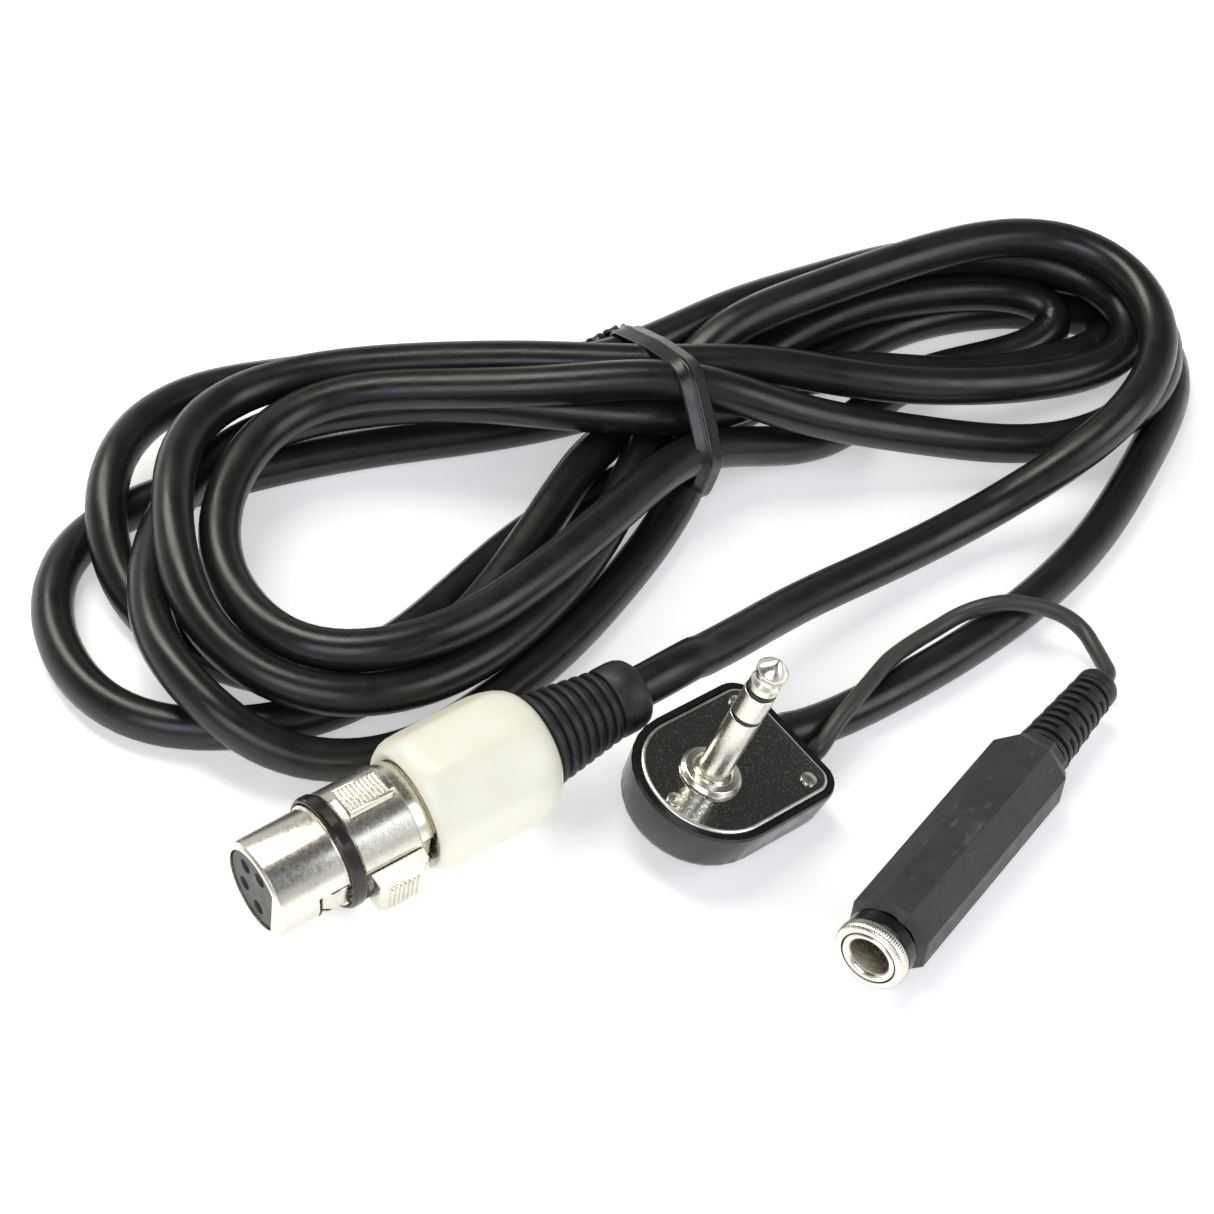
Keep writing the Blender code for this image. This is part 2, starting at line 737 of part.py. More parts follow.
def socket_barrel(frame):
    """The octagonal barrel with shouldered ends and a round neck for the boot."""
    corner = BARREL_FLATS / 2 / math.cos(math.radians(22.5))
    barrel = turned(
        "socket_barrel",
        (
            (0, COLLAR_BACK + GAP), (corner - 1.5, COLLAR_BACK + GAP), (corner, COLLAR_BACK + 1.6),
            (corner, BARREL_BACK - 2.4), (corner - 1.0, BARREL_BACK - 0.7),
            (corner - 2.0, BARREL_BACK), (4.9, BARREL_BACK), (4.9, BARREL_NECK_BACK),
            (0, BARREL_NECK_BACK),
        ),
        frame, matte_black_plastic(), sides=8, turn=22.5,
    )
    bore = turned(
        "barrel_bore",
        (
            (0, 3), (BARREL_BORE, 3), (BARREL_BORE, 48.3), (3.3, 49.3), (3.3, 58), (0, 58),
        ),
        frame,
    )
    cut(barrel, bore)


def socket_boot(frame):
    """The flexible strain relief: a neck inside the barrel and a tapering grooved sleeve."""
    bore = BRANCH_RADIUS + GAP
    start = BARREL_NECK_BACK + GAP
    ridges = ridged_outline(start, SOCKET_BOOT_BACK - 1.6, 4.5, 3.6, 8, 0.6)
    outline = (
        [(bore, 47.6), (3.0, 47.6), (3.0, start)]
        + ridges
        + [(3.5, SOCKET_BOOT_BACK - 1.6), (3.1, SOCKET_BOOT_BACK - 0.4)]
        + [(2.6, SOCKET_BOOT_BACK), (bore, SOCKET_BOOT_BACK)]
    )
    turned("socket_boot", outline, frame, black_rubber(), sides=24)


def inline_socket():
    frame = lying_frame("socket_frame", SOCKET_PLACE, SOCKET_HEADING)
    turned(
        "socket_nut",
        (
            (BUSH_RADIUS + GAP, 0.2), (5.7, 0), (NUT_RADIUS, 0.4), (NUT_RADIUS, NUT_THICKNESS),
            (BUSH_RADIUS + GAP, NUT_THICKNESS),
        ),
        frame, nickel(),
    )
    turned(
        "socket_bush",
        (
            (BORE_RADIUS, 0.8), (BORE_RADIUS + 0.4, 0), (BUSH_RADIUS, 0), (BUSH_RADIUS, BUSH_BACK),
            (BORE_RADIUS, BUSH_BACK),
        ),
        frame, nickel(),
    )
    turned(
        "socket_collar",
        (
            (BUSH_RADIUS + GAP, NUT_THICKNESS + GAP), (COLLAR_RADIUS, NUT_THICKNESS + GAP),
            (COLLAR_RADIUS, COLLAR_BACK), (BUSH_RADIUS + GAP, COLLAR_BACK),
        ),
        frame, black_plastic(),
    )
    turned(
        "socket_spring_block",
        (
            (BORE_RADIUS + 0.1, BUSH_BACK + GAP), (BARREL_BORE - GAP, BUSH_BACK + GAP),
            (BARREL_BORE - GAP, 15.0), (BORE_RADIUS + 0.1, 15.0),
        ),
        frame, phenolic(), sides=24,
    )
    spring_leaf(
        "socket_ring_spring", frame, 90, RING_SPRING_ROOT,
        (
            (4.9, 15.3), (4.9, 19.0), (3.7, 21.4), (4.5, 24.0), (4.1, 24.0), (3.2, 21.4),
            (4.5, 18.8), (4.5, 15.3),
        ),
    )
    spring_leaf(
        "socket_tip_spring", frame, -90, TIP_SPRING_ROOT,
        (
            (4.9, 15.3), (4.9, 26.0), (2.9, 29.4), (4.1, 33.0), (3.7, 33.0), (2.3, 29.4),
            (4.5, 25.8), (4.5, 15.3),
        ),
    )
    block(
        "socket_cable_clamp", (-4.6, -1.8, 15.3), (-4.1, 1.8, 44.0), frame, nickel()
    )
    socket_barrel(frame)
    socket_boot(frame)
    turned(
        "socket_branch_end",
        (
            (0, 42.0), (BRANCH_RADIUS, 42.0), (BRANCH_RADIUS, SOCKET_BOOT_BACK - GAP),
            (0, SOCKET_BOOT_BACK - GAP),
        ),
        frame, branch_jacket(), sides=12,
    )
    return frame


# ---------------------------------------------------------------- cables and tie

def frame_point(frame, local):
    """A point of a connector's frame in the part's own millimetres."""
    return frame.matrix_world @ (Vector(local) * MM) / MM


def lead(name, start, beyond, route, radius, material, resolution):
    """A cable stretch that leaves its connector along the connector's own axis."""
    points = smooth([start, beyond, *route], ROUTE_STEP)
    return rod(name, points, radius, material, resolution=resolution)


def hank():
    """The tied bundle's outer shape, with room for the tie round its waist."""
    outline = [(point.x, point.y) for point in smooth([(*p, 0) for p in HANK_OUTLINE], 0.5, True)]
    bundle = prism("cable_hank", outline, 0, HANK_HEIGHT, None, cable_jacket())
    waist = lying_frame("waist_frame", (*WAIST_PLACE, 0), WAIST_HEADING)
    low = -TIE_BOTTOM - TIE_THICKNESS - 0.7
    side = WAIST_HALF_WIDTH
    top = -HANK_HEIGHT
    right = (
        (30, 5), (30, -40), (side - 2, -40), (side - 2, top), (side, top + 2), (side, low - 2),
        (side - 2, low),
    )
    left = tuple((-x, y) for x, y in reversed(right))
    channel = prism("tie_channel", right + left, -4, 4, waist)
    cut(bundle, channel)


def wire_tie():
    """The flat strip round the waist, and the twisted ends of its two tails."""
    low, high = TIE_BOTTOM, HANK_HEIGHT + GAP + TIE_THICKNESS
    frame = lying_frame("tie_frame", (*WAIST_PLACE, (low + high) / 2), WAIST_HEADING)
    half_width = WAIST_HALF_WIDTH + GAP + TIE_THICKNESS
    half_height = (high - low) / 2
    half_depth = TIE_WIDTH / 2
    strip = prism(
        "tie_strip", rounded_box(half_width, half_height, 3.0), -half_depth, half_depth, frame,
        tie_plastic(),
    )
    inside = prism(
        "tie_inside",
        rounded_box(half_width - TIE_THICKNESS, half_height - TIE_THICKNESS, 1.9),
        -half_depth - 1, half_depth + 1, frame,
    )
    cut(strip, inside)
    rod("tie_twist", smooth(TIE_TWIST_ROUTE, 0.5), TIE_TWIST_RADIUS, tie_plastic())


def cables(xlr, plug, socket):
    lead(
        "cable_xlr_lead", frame_point(xlr, (0, 0, BOOT_BACK + GAP)),
        frame_point(xlr, (0, 0, BOOT_BACK + 3)), XLR_LEAD_ROUTE, MAIN_RADIUS, cable_jacket(), 3,
    )
    lead(
        "cable_plug_lead", frame_point(plug, (CUP_END + 0.3, MAIN_ENTRY_SIDE, -ENTRY_DEPTH)),
        frame_point(plug, (CUP_END + 3, MAIN_ENTRY_SIDE, -ENTRY_DEPTH)), PLUG_LEAD_ROUTE,
        MAIN_RADIUS, cable_jacket(), 3,
    )
    socket_end = frame_point(socket, (0, 0, SOCKET_BOOT_BACK + GAP))
    socket_beyond = frame_point(socket, (0, 0, SOCKET_BOOT_BACK + 3))
    lead(
        "branch_cable", frame_point(plug, (CUP_END + 0.4, BRANCH_ENTRY_SIDE, -ENTRY_DEPTH)),
        frame_point(plug, (CUP_END + 3, BRANCH_ENTRY_SIDE, -ENTRY_DEPTH)),
        (*BRANCH_ROUTE, socket_beyond, socket_end), BRANCH_RADIUS, branch_jacket(), 2,
    )


def main():
    for old in list(bpy.data.objects):
        bpy.data.objects.remove(old)
    xlr = xlr_connector()
    plug = flat_plug()
    socket = inline_socket()
    bpy.context.view_layer.update()
    cables(xlr, plug, socket)
    hank()
    wire_tie()


main()
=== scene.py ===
"""Looks of the intercom adapter cable: a tied hank of round cable with an XLR connector, a flat
phone plug and an in-line jack socket. Lengths are in millimetres unless a line says otherwise,
and MM turns them into metres."""

import json
import math

import bmesh
import bpy
import numpy as np
from mathutils import Matrix, Vector

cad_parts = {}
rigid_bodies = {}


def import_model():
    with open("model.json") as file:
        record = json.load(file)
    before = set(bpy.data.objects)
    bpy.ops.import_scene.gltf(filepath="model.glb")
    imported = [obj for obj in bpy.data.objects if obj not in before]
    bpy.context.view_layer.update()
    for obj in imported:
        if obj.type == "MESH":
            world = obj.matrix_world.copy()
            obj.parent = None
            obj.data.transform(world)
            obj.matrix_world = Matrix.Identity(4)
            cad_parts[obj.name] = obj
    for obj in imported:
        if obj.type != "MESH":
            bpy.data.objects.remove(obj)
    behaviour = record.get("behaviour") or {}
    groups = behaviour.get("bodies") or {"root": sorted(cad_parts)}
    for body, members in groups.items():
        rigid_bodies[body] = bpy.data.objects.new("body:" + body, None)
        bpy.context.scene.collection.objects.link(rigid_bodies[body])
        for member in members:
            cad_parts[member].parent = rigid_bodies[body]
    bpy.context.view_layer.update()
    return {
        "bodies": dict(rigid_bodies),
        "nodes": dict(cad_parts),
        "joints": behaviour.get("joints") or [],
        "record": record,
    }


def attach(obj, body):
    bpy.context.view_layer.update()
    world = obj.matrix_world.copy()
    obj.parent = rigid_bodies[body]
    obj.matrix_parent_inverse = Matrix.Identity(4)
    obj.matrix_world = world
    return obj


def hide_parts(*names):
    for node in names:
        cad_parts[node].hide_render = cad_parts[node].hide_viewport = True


MM = 0.001
ROOT = "cable_assembly"

# Camera: it looks at AIM on the floor.
AIM = (-26.0, 25.0, 0.0)
DISTANCE = 600.0
ELEVATION = 44.0
TABLE_ROLL = 8.0
YAW = 33.9
LENS = 106.6  # on a 36 mm sensor

# Lights: name, distance and height in metres, angle from +X seen from above, size in metres,
# power in watts and colour
HORIZON_LIGHT, ZENITH_LIGHT = 0.55, 0.07
FALL_START, FALL_END = 0.30, 0.55  # heights on the sky, 1 straight up, between which it darkens
FLOOR_GLOW = 0.42
SOFTBOXES = (
    ("key", 0.50, 0.85, 172, (0.35, 1.0), 7.5, (1.0, 0.97, 0.89)),
    ("fill", 0.85, 0.70, -70, (0.8, 0.5), 4.2, (0.86, 0.90, 1.0)),
    ("side", 0.80, 0.55, 15, (0.5, 0.6), 2.8, (0.92, 0.95, 1.0)),
)

# Cables
MAIN_RADIUS = 3.5
BRANCH_RADIUS = 1.4
STEP = 2.4  # distance between the main cable's points
CLEARANCE = 0.15  # between the cable's turns
PLAN_BLUR = 9.0
PUSH_BLUR = 9.0

# Tie
TIE_WIDTH, TIE_THICKNESS = 4.8, 1.1

# Waist of the hank: the tie stands across the bundle here. A slot is (across, height).
WAIST = Vector((-39.2, 60.4, 0.0))
BUNDLE_HEADING = 58.7
SLOTS = {
    "a_up": (-10.5, 5.0), "a_low": (-3.5, 5.0), "b_low": (3.5, 5.0), "d_low": (10.6, 5.0),
    "b_up": (-10.4, 11.9), "c_low": (-3.5, 11.6), "d_up": (3.4, 11.2), "e_low": (10.1, 11.8),
    "c_up": (-3.6, 18.3), "e_up": (3.4, 17.9),
}


# The main cable from the XLR boot to the flat plug. Each lobe of the hank is given by a few
# points round it, and the cable passes the waist between two lobes.
XLR_LEAD = (
    (-2.5, 4.8, 15.8), (-0.6, 17, 13.9), (2.2, 39.3, 10.3), (8.4, 62.3, 8.3), (14.1, 80.2, 8.6),
    (19.5, 92, 12.5), (24, 104, 16.5), (24, 118, 18), (19, 130, 18), (11, 137, 17.5), (2, 140, 17.5),
    (-8, 137, 17.5), (-17, 129, 17.5), (-27, 114, 17.5), (-36, 97, 17.5), (-44, 79, 16.5),
)
LOBES = (
    ("c_low", (
        (-31, 24, 10.6), (-30, 1, 10.6), (-33, -12, 10.6), (-38, -22, 10.6), (-48, -31, 11),
        (-58, -33, 12), (-69, -32, 14), (-81, -23, 17), (-89, -13, 18), (-95, -1, 18),
        (-95, 11, 18), (-88, 24, 18.5), (-72, 40, 19), (-57, 52, 19),
    ), "c_up"),
    ("c_up", (
        (-29, 74, 17.5), (-15, 84, 16), (-3, 96, 14), (8, 110, 12), (15, 122, 11), (17, 131, 10.6),
        (13, 137, 10.6), (3, 140, 10.6), (-10, 132, 11), (-22, 119, 11), (-30, 105, 11),
        (-38, 87, 11),
    ), "b_up"),
    ("b_up", (
        (-59, 54, 12), (-82, 41, 11), (-95, 26, 11), (-104, 14, 11), (-106, 3, 11),
        (-103, -10, 10.6), (-96, -20, 8.5), (-85, -27, 4), (-69, -29, 3.6), (-52, -24, 3.6),
        (-44, -11, 3.6), (-43, 13, 3.6), (-42, 33, 4),
    ), "b_low"),
    ("b_low", (
        (-37, 92, 4), (-28, 119, 4), (-16, 133, 5), (-4, 141, 7), (5, 142, 10), (9, 137, 11),
        (6, 128, 11), (0, 115, 11), (-12, 101, 11), (-26, 89, 11),
    ), "d_up"),
    ("d_up", (
        (-70, 38, 11), (-87, 20, 10), (-91, 8, 10), (-91, -7, 10.5), (-83, -24, 11), (-72, -36, 11),
        (-64, -40, 10.5), (-56, -41, 8), (-47, -40, 5), (-39, -34, 3.6), (-32, -26, 3.6),
        (-29, -14, 3.6), (-27, 5, 3.6), (-27, 28, 3.8), (-28, 43, 4),
    ), "d_low"),
    ("d_low", (
        (-43, 89, 8), (-38, 104, 8), (-28, 121, 8), (-12, 137, 9), (1, 142, 10), (15, 138, 10.5),
        (22, 128, 10.5), (23, 117, 9), (18, 107, 7), (10, 99, 6), (-3, 88, 7.5), (-16, 75, 11),
        (-28, 64, 15),
    ), "e_up"),
    ("e_up", (
        (-52, 45, 18.5), (-68, 34, 18), (-81, 23, 18), (-86, 11, 17), (-83, -5, 16), (-76, -16, 15),
        (-64, -24, 15), (-51, -26, 15), (-40, -17, 15), (-34, -6, 15), (-31, 18, 14.5),
        (-31, 33, 14),
    ), "e_low"),
    ("e_low", (
        (-25, 68, 7), (-18, 84, 4), (-17, 103, 3.6), (-8, 120, 3.6), (-1, 130, 4.5), (-1, 137, 5.5),
        (-6, 139, 6), (-14, 133, 6), (-24, 118, 5), (-31, 100, 4),
    ), "a_low"),
    ("a_low", (
        (-41, 27, 3.8), (-40, 5, 3.6), (-43, -16, 3.6), (-48, -31, 3.6), (-56, -41, 3.6),
        (-61, -45, 3.6), (-67, -48, 3.6), (-74, -48, 3.6), (-81, -46, 3.6), (-87, -42, 3.6),
        (-93, -37, 3.6), (-99, -24, 3.6), (-98, -11, 3.6), (-90, 7, 3.6), (-78, 26, 3.6),
        (-64, 43, 4),
    ), "a_up"),
)
PLUG_LEAD = (
    (-42, 88, 4), (-30, 113, 3.6), (-16, 134, 3.6), (-2, 145, 3.6), (12, 146, 3.6), (22, 138, 3.6),
    (26, 125, 3.6), (29.5, 107, 5), (31, 95, 3.8), (31.4, 83, 3.6), (31, 75, 3.6),
    (30, 65.5, 3.6), (28.2, 56, 3.6), (26, 46.5, 3.6), (23.4, 37.5, 3.6), (20.6, 29, 3.6),
    (18, 21.5, 4.1), (16.1, 16.4, 5),
)
BRANCH = (
    (21.2, 14.5, 5.6), (21.3, 18.5, 7.9), (21.3, 24, 9), (21, 30.5, 8.8), (20.6, 37, 8),
    (21, 43.1, 7), (22.3, 49.5, 6.6), (24.2, 54.8, 7.3), (26.7, 58, 8.4), (29.5, 60.8, 8.9),
    (32.3, 63.2, 8.4), (35.3, 65.4, 7.4), (38.5, 66.8, 6.3), (41.8, 66.4, 5.6), (45, 64.2, 5.5),
    (47.8, 61.6, 6),
)

# Connector frames: place, then directions as in the CAD model.
XLR_PLACE, XLR_HEADING, XLR_RISE, XLR_LATCH_ANGLE = (-28.9, -67.2, 8.5), 69.7, 5.6, -8.0
PLUG_PLACE, PLUG_TILT, PLUG_TILT_TOWARDS, PLUG_HEADING = (13.6, -7.6, 13.1), 15.0, 26.0, 77.0
CUP_RADIUS, CUP_CORNER = 12.8, 5.0
SOCKET_PLACE, SOCKET_HEADING = (50.1, -18.7, 6.65), 90.0
XLR_LENGTH = 70.5
COVER_RADIUS = 11.0
COVER_TURN = 14.5  # degrees from the latch's side to an edge between two flats
SOCKET_LENGTH = 74.6
CUP_END = 20.3
ENTRY_DEPTH, MAIN_ENTRY_SIDE, BRANCH_ENTRY_SIDE = 4.8, 2.0, -3.6


# ---------------------------------------------------------------- frames

def axes_matrix(place, z_axis, x_axis):
    z_axis = Vector(z_axis).normalized()
    x_axis = Vector(x_axis)
    x_axis = (x_axis - x_axis.dot(z_axis) * z_axis).normalized()
    turn = Matrix((x_axis, z_axis.cross(x_axis), z_axis)).transposed()
    return Matrix.Translation(Vector(place) * MM) @ turn.to_4x4()


def lying_matrix(place, heading, rise=0.0, roll=0.0):
    heading, rise, roll = math.radians(heading), math.radians(rise), math.radians(roll)
    z_axis = Vector(
        (math.cos(heading) * math.cos(rise), math.sin(heading) * math.cos(rise), math.sin(rise))
    )
    side = z_axis.cross(Vector((0, 0, 1))).normalized()
    lift = side.cross(z_axis)
    return axes_matrix(place, z_axis, math.cos(roll) * side + math.sin(roll) * lift)


def tilted_matrix(place, tilt, towards, heading):
    tilt, towards, heading = math.radians(tilt), math.radians(towards), math.radians(heading)
    z_axis = (
        math.sin(tilt) * math.cos(towards),
        math.sin(tilt) * math.sin(towards),
        math.cos(tilt),
    )
    return axes_matrix(place, z_axis, (math.cos(heading), math.sin(heading), 0))


XLR = lying_matrix(XLR_PLACE, XLR_HEADING, XLR_RISE, XLR_LATCH_ANGLE)
PLUG = tilted_matrix(PLUG_PLACE, PLUG_TILT, PLUG_TILT_TOWARDS, PLUG_HEADING)
SOCKET = lying_matrix(SOCKET_PLACE, SOCKET_HEADING)


def at(frame, *local):
    """A point of a connector's frame, in millimetres."""
    return frame @ (Vector(local) * MM) / MM


def waist_slot(name):
    across, height = SLOTS[name]
    heading = math.radians(BUNDLE_HEADING)
    place = WAIST + across * Vector((math.sin(heading), -math.cos(heading), 0))
    return Vector((place.x, place.y, height))


# ---------------------------------------------------------------- cable lines

def smooth(points, step):
    """Points about step apart on a centripetal Catmull-Rom curve through the given ones."""
    points = [Vector(point) for point in points]
    points = [points[0] * 2 - points[1], *points, points[-1] * 2 - points[-2]]
    made = []
    for a, b, c, d in zip(points, points[1:], points[2:], points[3:]):
        t1 = (b - a).length ** 0.5
        t2 = t1 + (c - b).length ** 0.5
        t3 = t2 + (d - c).length ** 0.5
        count = max(1, round((c - b).length / step))
        for number in range(count):
            t = t1 + (t2 - t1) * number / count
            ab = a.lerp(b, t / t1)
            bc = b.lerp(c, (t - t1) / (t2 - t1))
            cd = c.lerp(d, (t - t2) / (t3 - t2))
            abc = ab.lerp(bc, t / t2)
            bcd = bc.lerp(cd, (t - t1) / (t3 - t1))
            made.append(abc.lerp(bcd, (t - t1) / (t2 - t1)))
    made.append(points[-2])
    return made


def even(points, step):
    """The same line with points exactly evenly spaced, as an array."""
    points = np.array(points, float)
    run = np.concatenate([[0], np.cumsum(np.linalg.norm(np.diff(points, axis=0), axis=1))])
    count = int(round(run[-1] / step)) + 1
    wanted = np.linspace(0, run[-1], count)
    return np.stack([np.interp(wanted, run, points[:, k]) for k in range(3)], axis=1)


def blurred(values, width):
    """Values along the cable, averaged over about width millimetres to each side."""
    reach = int(3 * width / STEP)
    weights = np.exp(-0.5 * (np.arange(-reach, reach + 1) * STEP / width) ** 2)
    weights /= weights.sum()
    padded = np.concatenate(
        [np.repeat(values[:1], reach, axis=0), values, np.repeat(values[-1:], reach, axis=0)]
    )
    return np.stack([np.convolve(padded[:, k], weights, "valid") for k in range(3)], axis=1)


def eased(values, width):
    """A blur that keeps the wide bends and takes out only the short ones."""
    once = blurred(values, width)
    return once + blurred(values - once, width)


def settle(line, free, rounds=700):
    """Lets the cable's turns push each other apart and come down on each other and the floor.
    free is how far each point may leave its place in the plan, from 0 to 1."""
    free = free[:, None]
    planned = line + free * (eased(line, PLAN_BLUR) - line)
    place = planned.copy()
    apart_by = int(3.2 * 2 * MAIN_RADIUS / STEP)
    reach = 2 * MAIN_RADIUS + CLEARANCE
    for number in range(rounds):
        if number % 10 == 0:
            gap = np.linalg.norm(place[:, None, :] - place[None, :, :], axis=2)
            first, second = np.nonzero(np.triu(gap < reach + 2.5, apart_by))
        apart = place[first] - place[second]
        gap = np.linalg.norm(apart, axis=1) + 1e-6
        depth = np.clip(reach - gap, 0, None)
        push = apart / gap[:, None] * (0.5 * depth)[:, None]
        moved = np.zeros_like(place)
        weight = np.full(len(place), 1e-6)
        for ends, sign in ((first, 1.0), (second, -1.0)):
            np.add.at(moved, ends, sign * push * depth[:, None])
            np.add.at(weight, ends, depth)
        moved /= np.maximum(weight, 0.4)[:, None]
        low = MAIN_RADIUS + 0.05 - place[:, 2]
        moved[:, 2] += np.clip(low, 0, None) - 0.012
        place += free * 1.9 * blurred(moved, PUSH_BLUR)
        place += 0.01 * free * (planned - place) * (1, 1, 0.3)
        offset = place - planned
        place += 0.3 * free * (blurred(offset, PUSH_BLUR) - offset)
    place[:, 2] = np.maximum(place[:, 2], MAIN_RADIUS)
    return place


def main_line():
    """The main cable's centreline from the XLR boot to the flat plug."""
    start = at(XLR, 0, 0, XLR_LENGTH + 0.2)
    beyond = at(XLR, 0, 0, XLR_LENGTH + 3)
    end = at(PLUG, CUP_END + 0.3, MAIN_ENTRY_SIDE, -ENTRY_DEPTH)
    before = at(PLUG, CUP_END + 3, MAIN_ENTRY_SIDE, -ENTRY_DEPTH)
    points = [start, beyond, *XLR_LEAD]
    for first, turns, _ in LOBES:
        points += [waist_slot(first), *turns]
    points += [waist_slot(LOBES[-1][2]), *PLUG_LEAD, before, end]
    line = even(smooth(points, 1.0), STEP)
    run = np.arange(len(line)) * STEP
    free = np.clip((run - 12) / 60, 0, 1) * np.clip((run[-1] - 12 - run) / 60, 0, 1)
    return even(smooth(settle(line, free), 1.0), STEP)


def cable(name, line, radius, material, sides=5):
    """A round cable along a line, as one open spline."""
    curve = bpy.data.curves.new(name, "CURVE")
    curve.dimensions = "3D"
    curve.bevel_depth = radius * MM
    curve.bevel_resolution = sides
    curve.use_fill_caps = True
    spline = curve.splines.new("POLY")
    spline.points.add(len(line) - 1)
    for point, place in zip(spline.points, line):
        point.co = (place[0] * MM, place[1] * MM, place[2] * MM, 1.0)
    spline.use_smooth = True
    curve.materials.append(material)
    made = bpy.data.objects.new(name, curve)
    bpy.context.scene.collection.objects.link(made)
    return made


def length_of(line):
    return float(np.linalg.norm(np.diff(np.array(line, float), axis=0), axis=1).sum())


# ---------------------------------------------------------------- camera, floor and light

def camera():
    elevation, roll, yaw = map(math.radians, (ELEVATION, TABLE_ROLL, YAW))
    up_seen = Vector(
        (
            math.sin(roll) * math.cos(elevation),
            math.cos(roll) * math.cos(elevation),
            math.sin(elevation),
        )
    )
    across = (Vector((1, 0, 0)) - up_seen.x * up_seen).normalized()
    away = up_seen.cross(across)
    x_seen = math.cos(yaw) * across - math.sin(yaw) * away
    y_seen = math.sin(yaw) * across + math.cos(yaw) * away
    turn = Matrix((x_seen, y_seen, up_seen))
    data = bpy.data.cameras.new("camera")
    data.lens = LENS
    data.sensor_width = 36.0
    made = bpy.data.objects.new("camera", data)
    bpy.context.scene.collection.objects.link(made)
    back = turn.col[2]
    made.matrix_world = Matrix.Translation((Vector(AIM) + back * DISTANCE) * MM) @ turn.to_4x4()
    bpy.context.scene.camera = made


def softbox(name, away, height, turn, size, power, colour):
    """A rectangular light away from the middle of the scene, in metres, seen from above at the
    angle turn from +X, and facing the object."""
    aim = Vector((AIM[0] * MM, AIM[1] * MM, 0.01))
    turn = math.radians(turn)
    place = aim + Vector((away * math.cos(turn), away * math.sin(turn), height))
    data = bpy.data.lights.new(name, "AREA")
    data.shape = "RECTANGLE"
    data.size, data.size_y = size
    data.energy = power
    data.color = colour
    made = bpy.data.objects.new(name, data)
    bpy.context.scene.collection.objects.link(made)
    made.location = place
    made.rotation_mode = "QUATERNION"
    made.rotation_quaternion = (aim - place).to_track_quat("-Z", "Y")


def stage():
    """A white table with soft lights round it. The studio is pale at its horizon and dark above."""
    world = bpy.data.worlds.new("studio")
    world.use_nodes = True
    tree = world.node_tree
    background = tree.nodes["Background"]
    background.inputs["Color"].default_value = (1.0, 1.0, 1.0, 1.0)
    direction = tree.nodes.new("ShaderNodeTexCoord").outputs["Generated"]
    parts = tree.nodes.new("ShaderNodeSeparateXYZ")
    tree.links.new(direction, parts.inputs["Vector"])
    fall = tree.nodes.new("ShaderNodeMapRange")
    for name, number in (
        ("From Min", FALL_START), ("From Max", FALL_END),
        ("To Min", HORIZON_LIGHT), ("To Max", ZENITH_LIGHT),
    ):
        fall.inputs[name].default_value = number
    tree.links.new(parts.outputs["Z"], fall.inputs["Value"])
    tree.links.new(fall.outputs["Result"], background.inputs["Strength"])
    bpy.context.scene.world = world
    bpy.context.scene.view_settings.view_transform = "Standard"
    mesh = bmesh.new()
    bmesh.ops.create_grid(mesh, x_segments=1, y_segments=1, size=3.0)
    floor = add_piece("floor", mesh, Matrix.Translation((0, 0, -0.00005)), floor_paper())
    for light in SOFTBOXES:
        softbox(*light)


# ---------------------------------------------------------------- materials

